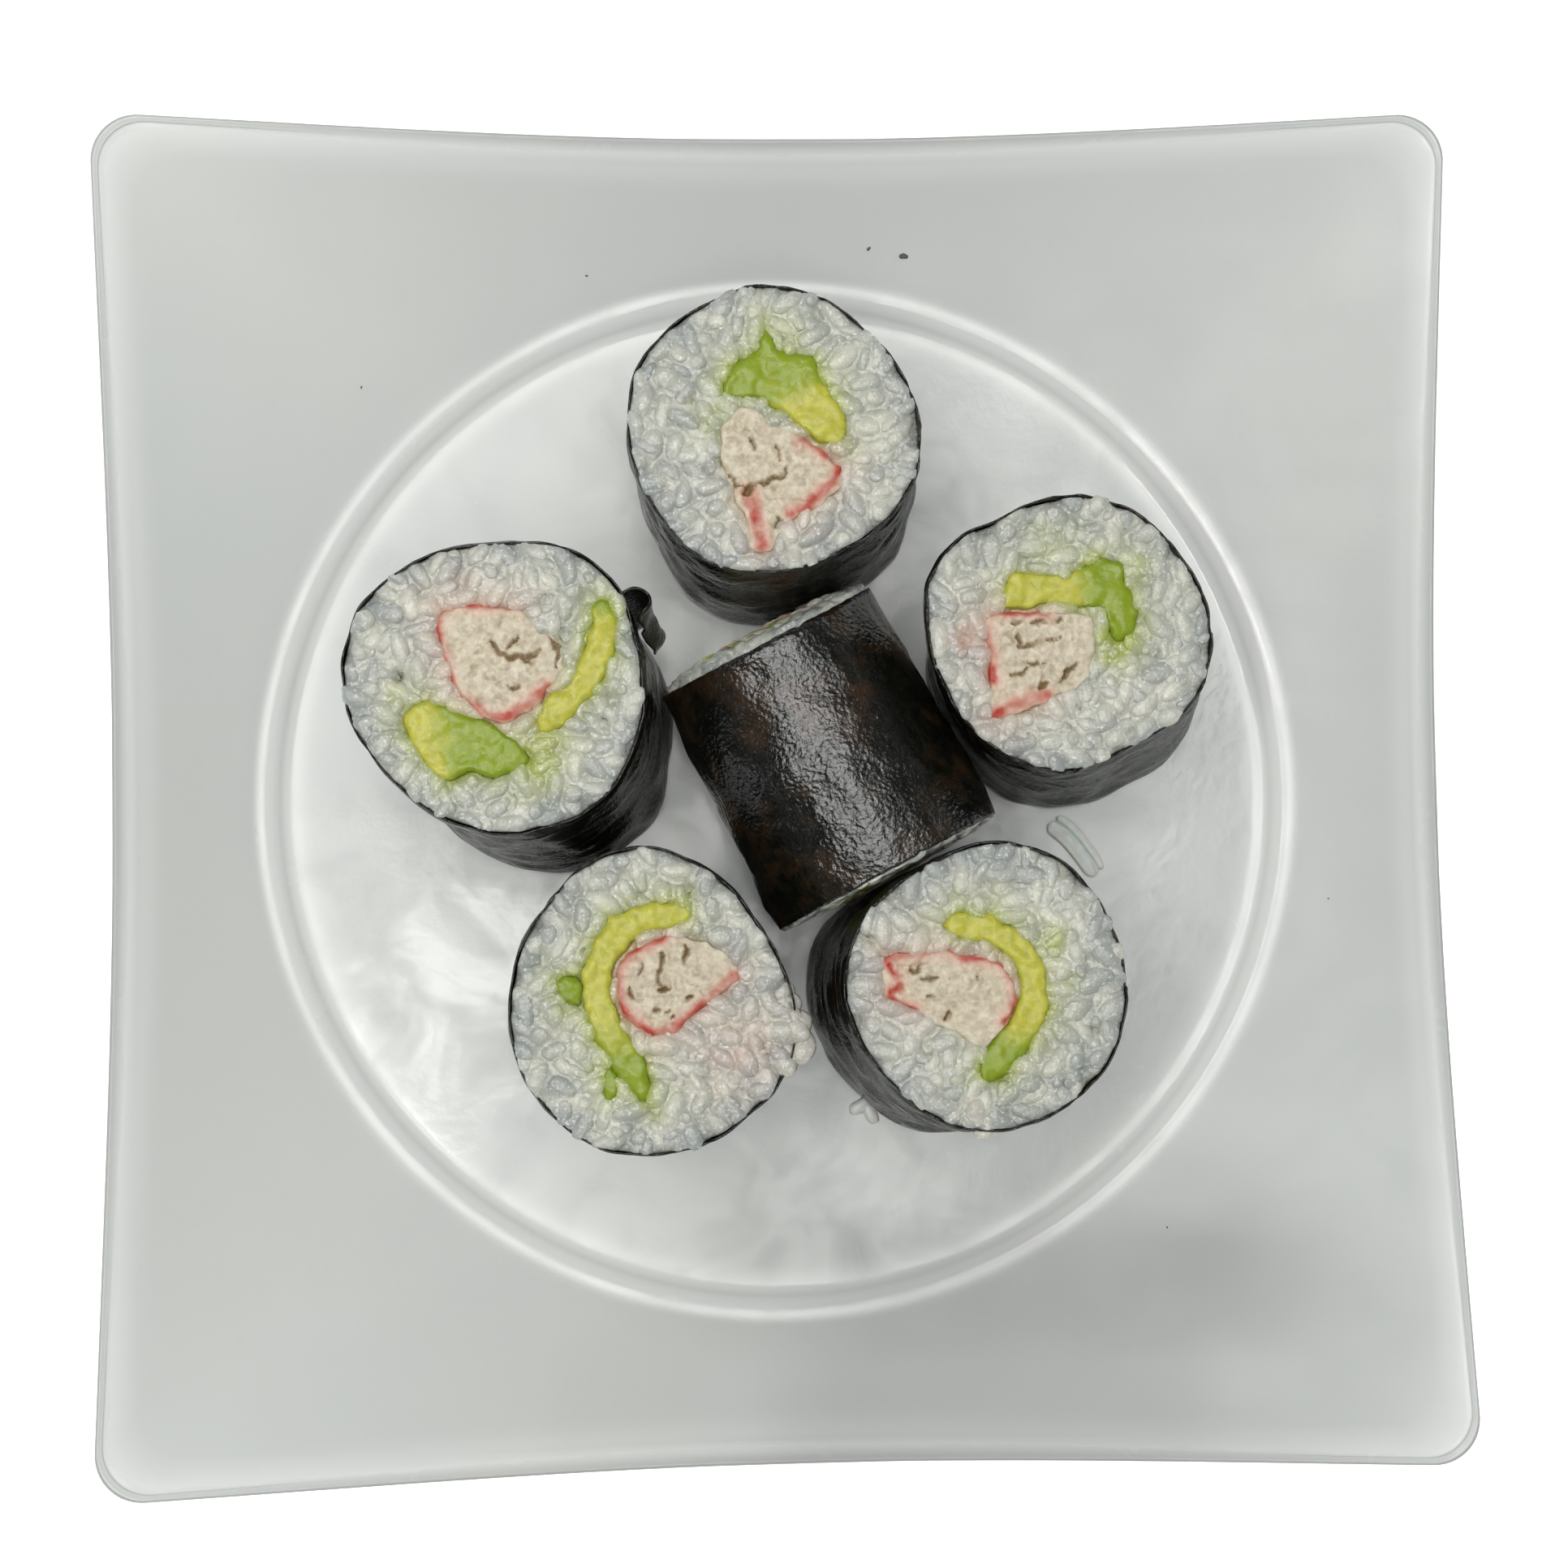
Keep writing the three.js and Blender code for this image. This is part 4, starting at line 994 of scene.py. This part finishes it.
# Grains pressed together at an end, each as its place, heading, tilt and half lengths. Seen along the
# roll a grain counts as three discs in a row, which keep a distance from those of the others.
def pack_grains(roll, crowding, fits, rng):
    middles, radii, grains = np.empty((0, 2)), np.empty(0), []
    for size, tries in GRAIN_SIZES:
        spots = roll.centre + rng.uniform(-GRAIN_PLACES, GRAIN_PLACES, (tries, 2))
        spots = spots[fits(spots)]
        lay = 1.4 * math.pi * wobble(flat(spots / 9.0), roll.seed + 40)
        for spot, heading in zip(spots, lay + rng.normal(0, 0.7, len(spots))):
            half = np.array(GRAIN_HALF) * size * rng.uniform(0.88, 1.12, 3)
            tilt = rng.uniform(0.6, 1.3) if rng.random() < STEEP_SHARE else rng.normal(0, 0.2)
            seen = math.hypot(half[0] * math.cos(tilt), half[1] * math.sin(tilt))
            step = max(seen - half[1], 0) * 0.92
            trio = spot + np.outer((-step, 0, step), (math.cos(heading), math.sin(heading)))
            apart = np.hypot(*(middles[:, None] - trio).transpose(2, 0, 1))
            if np.any(apart < crowding * (radii[:, None] + half[1])):
                continue
            middles = np.vstack([middles, trio])
            radii = np.concatenate([radii, [half[1]] * 3])
            grains.append((spot, heading, tilt, half))
    return grains


# Bends grains to and fro, so that no two have the same form
def warped(points, seed):
    return points + GRAIN_WARP * (wobbles(points / WARP_LENGTH, seed, 3) * (1, 1, 0.4))


# Grains at one end of a roll, pressed between the seaweed and the fillings and cut level by the knife,
# and samples of their surfaces with their tones
def end_grains(roll, end, outlines, rng):
    def fits(spots):
        clear = [depth_inside(spots, outline) < -0.5 for outline in outlines]
        return np.all([roll.to_wall(spots) > 0.6, *clear], axis=0)

    form, form_faces = grain_form()
    parts = []
    for sunk, crowding in GRAIN_LAYERS:
        for spot, heading, tilt, half in pack_grains(roll, crowding, fits, rng):
            grain = turned(form * half, heading, tilt)
            tall = grain[:, 2].max()
            cut = rng.normal(-0.25, 0.13) - sunk
            grain[:, 2] += cut + 0.55 + 0.6 * (tall - half[2]) - tall
            over = np.clip(grain[:, 2] - cut - grain[:, :2] @ rng.normal(0, 0.06, 2), 0, None)
            grain[:, 2] -= over - 0.7 * (1 - np.exp(-over / 0.85))
            grain[:, :2] += spot
            parts.append((grain, form_faces, np.full((len(grain), 1), rng.uniform(-1, 1))))
    points, faces, own = join_parts(parts)
    points = warped(points, roll.seed + 70)
    across, rise = points[:, :2], points[:, 2]
    turn, far = polar(across, roll.centre)
    room = roll.wall(turn, roll.top) - 0.02
    room += SPILL * roll.spill(turn) * smooth_step(-0.5, -0.1, rise)
    pressed = np.minimum(1, room / np.maximum(far, 1e-6))[:, None]
    across = roll.centre + (across - roll.centre) * pressed
    for outline in outlines:
        rise = rise - 2.5 * np.clip(depth_inside(across, outline) - 0.4, 0, 1.0)
    rise = rise - pit_depth(roll, across)
    weights = rice_tint(roll, across, outlines, own[:, 0])
    samples = between_corners(np.column_stack([across, rise, own]), faces)
    height = roll.top + rise + end_bulge(roll, across, 1)
    if end == 0:
        height = roll.bottom - rise - end_bulge(roll, across, 0)
        faces = [face[::-1] for face in faces]
    return (roll.world(roll.carry(across, height), height), faces, weights), samples


# Values at evenly spread places on the four-sided faces, from the values at their corners
def between_corners(values, faces):
    a, b, c, d = (values[[face[k] for face in faces if len(face) == 4]] for k in range(4))
    shares = (0, 1 / 3, 2 / 3)
    return np.vstack([(a * (1 - u) + b * u) * (1 - v) + (d * (1 - u) + c * u) * v
                      for u in shares for v in shares])


# The mean of each cell of a grid and the eight round it, or the highest of them
def spread_grid(grid, take):
    padded = np.pad(grid, 1, mode="edge")
    size = len(grid)
    return take([padded[i:i + size, j:j + size] for i in (0, 1, 2) for j in (0, 1, 2)], axis=0)


# Values between the cells of a grid
def read_grid(grid, places):
    low = np.floor(places).astype(int)
    (u, v), (x, y) = (places - low).T, low.T
    near = grid[x, y] * (1 - v) + grid[x, y + 1] * v
    far = grid[x + 1, y] * (1 - v) + grid[x + 1, y + 1] * v
    return near * (1 - u) + far * u


# The rise and the tone of the rice between the grains: those of the grains' upper sides, smoothed
def bed_of(roll, samples, spots):
    size = int(BED_SIDE / BED_STEP)
    rise, tone = np.full((size, size), BED_FLOOR), np.zeros((size, size))
    samples = samples[np.argsort(samples[:, 2])]
    cell = tuple(((samples[:, :2] - roll.centre) / BED_STEP + size / 2).astype(int).T)
    rise[cell], tone[cell] = samples[:, 2], samples[:, 3]
    rise = np.where(rise > BED_FLOOR, rise, spread_grid(rise, np.max))
    for _ in range(3):
        rise, tone = spread_grid(rise, np.mean), spread_grid(tone, np.mean)
    places = (spots - roll.centre) / BED_STEP + (size - 1) / 2
    return np.clip(read_grid(rise, places), -1.5, 0.3) - CORE_SUNK, read_grid(tone, places)


# How far holes between the grains go down
def pit_depth(roll, across):
    depth = np.zeros(len(across))
    ragged_edge = 0.35 * wobble(flat(across) / 0.9, roll.seed + 50)
    for x, y, size in roll.facts.get("pits", []):
        off = polar(across - roll.at, (x, y))[1] + ragged_edge
        depth = np.maximum(depth, 2.4 * smooth_step(size + 0.3, 0.2 * size, off))
    return depth


# How green, pink and grey the rice is: by the avocado, by the crab stick's skin and by the seaweed. The
# grey of each grain is its own too.
def rice_tint(roll, across, outlines, tone):
    run, local = flat(across), across - roll.at
    green, pink = np.zeros(len(across)), np.zeros(len(across))
    for (filling, facts), outline in zip(roll.fillings.items(), outlines):
        if filling == "crab":
            for line in facts["skin"]:
                pink = np.maximum(pink, 0.6 * fade(line_distance(local, line), 2.2))
        else:
            patchy = 0.75 + 0.5 * wobble(run / 3.0, roll.seed + 8)
            green = np.maximum(green, patchy * fade(-depth_inside(across, outline), 1.7))
    patchy = 1 + 0.5 * wobble(run / 1.5, roll.seed + 9)
    for stains, tint in (("smears", green), ("blushes", pink)):
        for x, y, size, strength in roll.facts.get(stains, []):
            off = polar(local, (x, y))[1] / size
            tint[:] = np.maximum(tint, strength * np.exp(-off**2) * patchy)
    grey = 0.2 + 0.7 * fade(roll.to_wall(across), 3.0) + 0.35 * wobble(run / 3.0, roll.seed + 5)
    green += 0.12 * wobble(run / 2.0, 6) * (green > 0.08)
    return np.clip(np.column_stack([green, pink, np.clip(grey, 0, 1) + GRAIN_TONE * tone]), 0, 1)


# Grains that stick out over the edge of the cut end
def loose_grains(roll, rng):
    form, form_faces = grain_form()
    parts = []
    for x, y, rise, count in roll.facts.get("loose", []):
        for _ in range(count):
            heading, tilt = rng.uniform(0, math.pi), rng.normal(0, 0.3)
            spot = (*(roll.at + (x, y) + rng.normal(0, 1.0, 2)), roll.top + rise + rng.normal(0, 0.35))
            half = np.array(GRAIN_HALF) * LOOSE_SIZE * rng.uniform(0.85, 1.1)
            grain = warped(turned(form * half, heading, tilt) + spot, roll.seed + 75)
            weights = np.tile((0.0, 0.12, rng.uniform(0.2, 0.7)), (len(grain), 1))
            parts.append((grain, form_faces, weights))
    return parts


# The rice of a roll: grains at its cut ends over a core that follows them
def make_rice(roll, outlines, material):
    seed = roll.seed + 90
    rng = np.random.default_rng(seed)
    turns = np.linspace(0, 2 * math.pi, CORE_TURNS, endpoint=False)
    border = roll.centre + around(turns, roll.wall(turns, roll.top) - 0.05)[:, :2]
    across, faces = fill_outline(border, CORE_SPACING, rng)
    parts, rises = [], {}
    for end in (0, 1) if roll.lying else (1,):
        part, samples = end_grains(roll, end, outlines, rng)
        parts.append(part)
        rise, tone = bed_of(roll, samples, across)
        rise += 0.08 * wobble(flat(across) / 0.8, seed)
        for outline in outlines:
            rise = rise - 2.5 * np.clip(depth_inside(across, outline) + 0.1, 0, 1.2)
        rises[end] = rise - pit_depth(roll, across) + end_bulge(roll, across, end)
    weights = rice_tint(roll, across, outlines, tone)
    core = run_through(roll, len(border), across, faces, rises, weights, CORE_INSET)
    part = join_parts([core, *parts, *loose_grains(roll, rng)])
    add_piece(f"{roll.name}_rice_grains", material, part, "rice", f"{roll.name}_rice")


def make_roll(roll, materials):
    make_seaweed(roll, materials["seaweed_lying" if roll.lying else "seaweed"])
    outlines = []
    for step, (filling, facts) in enumerate(roll.fillings.items()):
        measured = outlines_at(f"{roll.name}_{filling}", roll.into, roll.top - 2.0)[0]
        outline = ragged(even_outline(measured, 0.4), roll.seed + step, facts.get("swell", 0.0))
        outlines.append(outline)
        make_filling(roll, filling, facts, outline, roll.seed + 20 * (step + 1), materials)
    make_rice(roll, outlines, materials["rice"])


# A thin flake that lies along a line on the plate
def flake(line, width, seed):
    line = smooth_line(line, 6)
    side = left_of(np.gradient(line, axis=0))
    taper = np.sqrt(np.clip(1 - np.linspace(-1, 1, len(line)) ** 10, 0.05, 1))
    lower, upper = [], []
    for across in (-1, -0.5, 0, 0.5, 1):
        spots = line + side * across * width / 2 * taper[:, None]
        height = WELL_FLOOR + 0.6 + 0.15 * wobble(flat(spots / 1.2), seed) + 0.25 * across * across
        lower.append(flat(spots, height - FLAKE_HALF))
        upper.append(flat(spots, height + FLAKE_HALF))
    return tube(np.array(lower + upper[::-1]).transpose(1, 0, 2))


# A low lump or drop on the plate, from its place and half lengths
def lump(place, half, seed, heading):
    form, faces = grain_form()
    swollen = form * (1 + 0.25 * wobble(form * 1.5, seed))[:, None]
    return turned(swollen * half, math.radians(heading)) + place, faces


def make_crumbs():
    flakes = [flake(*facts) for facts in FLAKES]
    for number, (x, y, heading) in enumerate(SCRAPS):
        flakes.append(lump((x, y, WELL_FLOOR + 0.5), SCRAP_HALF, 300 + number, heading))
    add_piece("loose_flakes", flake_material(), join_parts(flakes), "rice")
    specks = []
    for number, (x, y, size) in enumerate(SPECKS):
        reach = plate_reach(math.atan2(y, x))
        share = (math.hypot(x, y) - WELL_RADIUS) / (reach - WELL_RADIUS)
        height = flange_height(reach, share) if share > 0 else WELL_FLOOR
        half = (size, size * 0.6, size * 0.3)
        specks.append(lump((x, y, height + size * 0.1), half, 320 + number, 40 * number))
    add_piece("specks", crumb_material(), join_parts(specks), "seaweed")


def make_camera():
    camera = add_object("camera", bpy.data.cameras.new("camera"))
    camera.data.sensor_width = SENSOR
    camera.data.lens = CAMERA_LENS
    place, target = Vector(CAMERA_PLACE) * MM, Vector(CAMERA_TARGET) * MM
    back = (place - target).normalized()
    right = Vector((0, 1, 0)).cross(back).normalized()
    turn = Matrix((right, back.cross(right), back)).transposed()
    turn = Matrix.Rotation(math.radians(CAMERA_ROLL), 3, back) @ turn
    camera.matrix_world = Matrix.Translation(place) @ turn.to_4x4()
    bpy.context.scene.camera = camera


def make_lights():
    for name, (place, target, size, power, colour) in LIGHTS.items():
        light = bpy.data.lights.new(name, "AREA")
        light.shape = "RECTANGLE"
        light.size, light.size_y = size[0] * MM, size[1] * MM
        light.energy = power
        light.color = colour
        lamp = add_object(name, light)
        lamp.location = Vector(place) * MM
        lamp.rotation_euler = (Vector(target) - Vector(place)).to_track_quat("-Z", "Y").to_euler()


def make_room():
    world = bpy.data.worlds.new("room")
    bpy.context.scene.world = world
    world.use_nodes = True
    tree = world.node_tree
    place = put(tree, "ShaderNodeTexCoord").outputs["Generated"]
    height = put(tree, "ShaderNodeSeparateXYZ", {0: place}).outputs["Z"]
    ramp = put(tree, "ShaderNodeValToRGB", {"Fac": height})
    tree.links.new(ramp.outputs["Color"], tree.nodes["Background"].inputs["Color"])
    stops = ramp.color_ramp.elements
    stops[1].position = ROOM_LIGHT[-1][0]
    for position, _ in ROOM_LIGHT[1:-1]:
        stops.new(position)
    for stop, (_, level) in zip(stops, ROOM_LIGHT):
        stop.color = (*(part * level for part in ROOM_TINT), 1)


def make_studio():
    add_stage("floor", floor_material(), (0, 0, -FLOOR_SUNK), (FLOOR_SIDE, FLOOR_SIDE))
    dark = crumb_material()
    for number, (middle, size) in enumerate(CARDS):
        card = add_stage(f"card_{number}", dark, middle, size)
        card.visible_camera = False
        card.visible_glossy = False


def main():
    bpy.context.scene.view_settings.view_transform = "Standard"
    make_camera()
    make_lights()
    make_room()
    make_studio()
    make_plate(porcelain_material())
    make_crumbs()
    materials = {
        "seaweed": seaweed_material("seaweed", 0.35, 0.45),
        "seaweed_lying": seaweed_material("seaweed_lying", 1.0, 0.6),
        "rice": rice_material(),
        "crab": crab_material(),
        "avocado": avocado_material(),
    }
    for number, (name, facts) in enumerate(ROLLS.items()):
        make_roll(Roll(name, facts, 100 * (number + 1)), materials)


main()
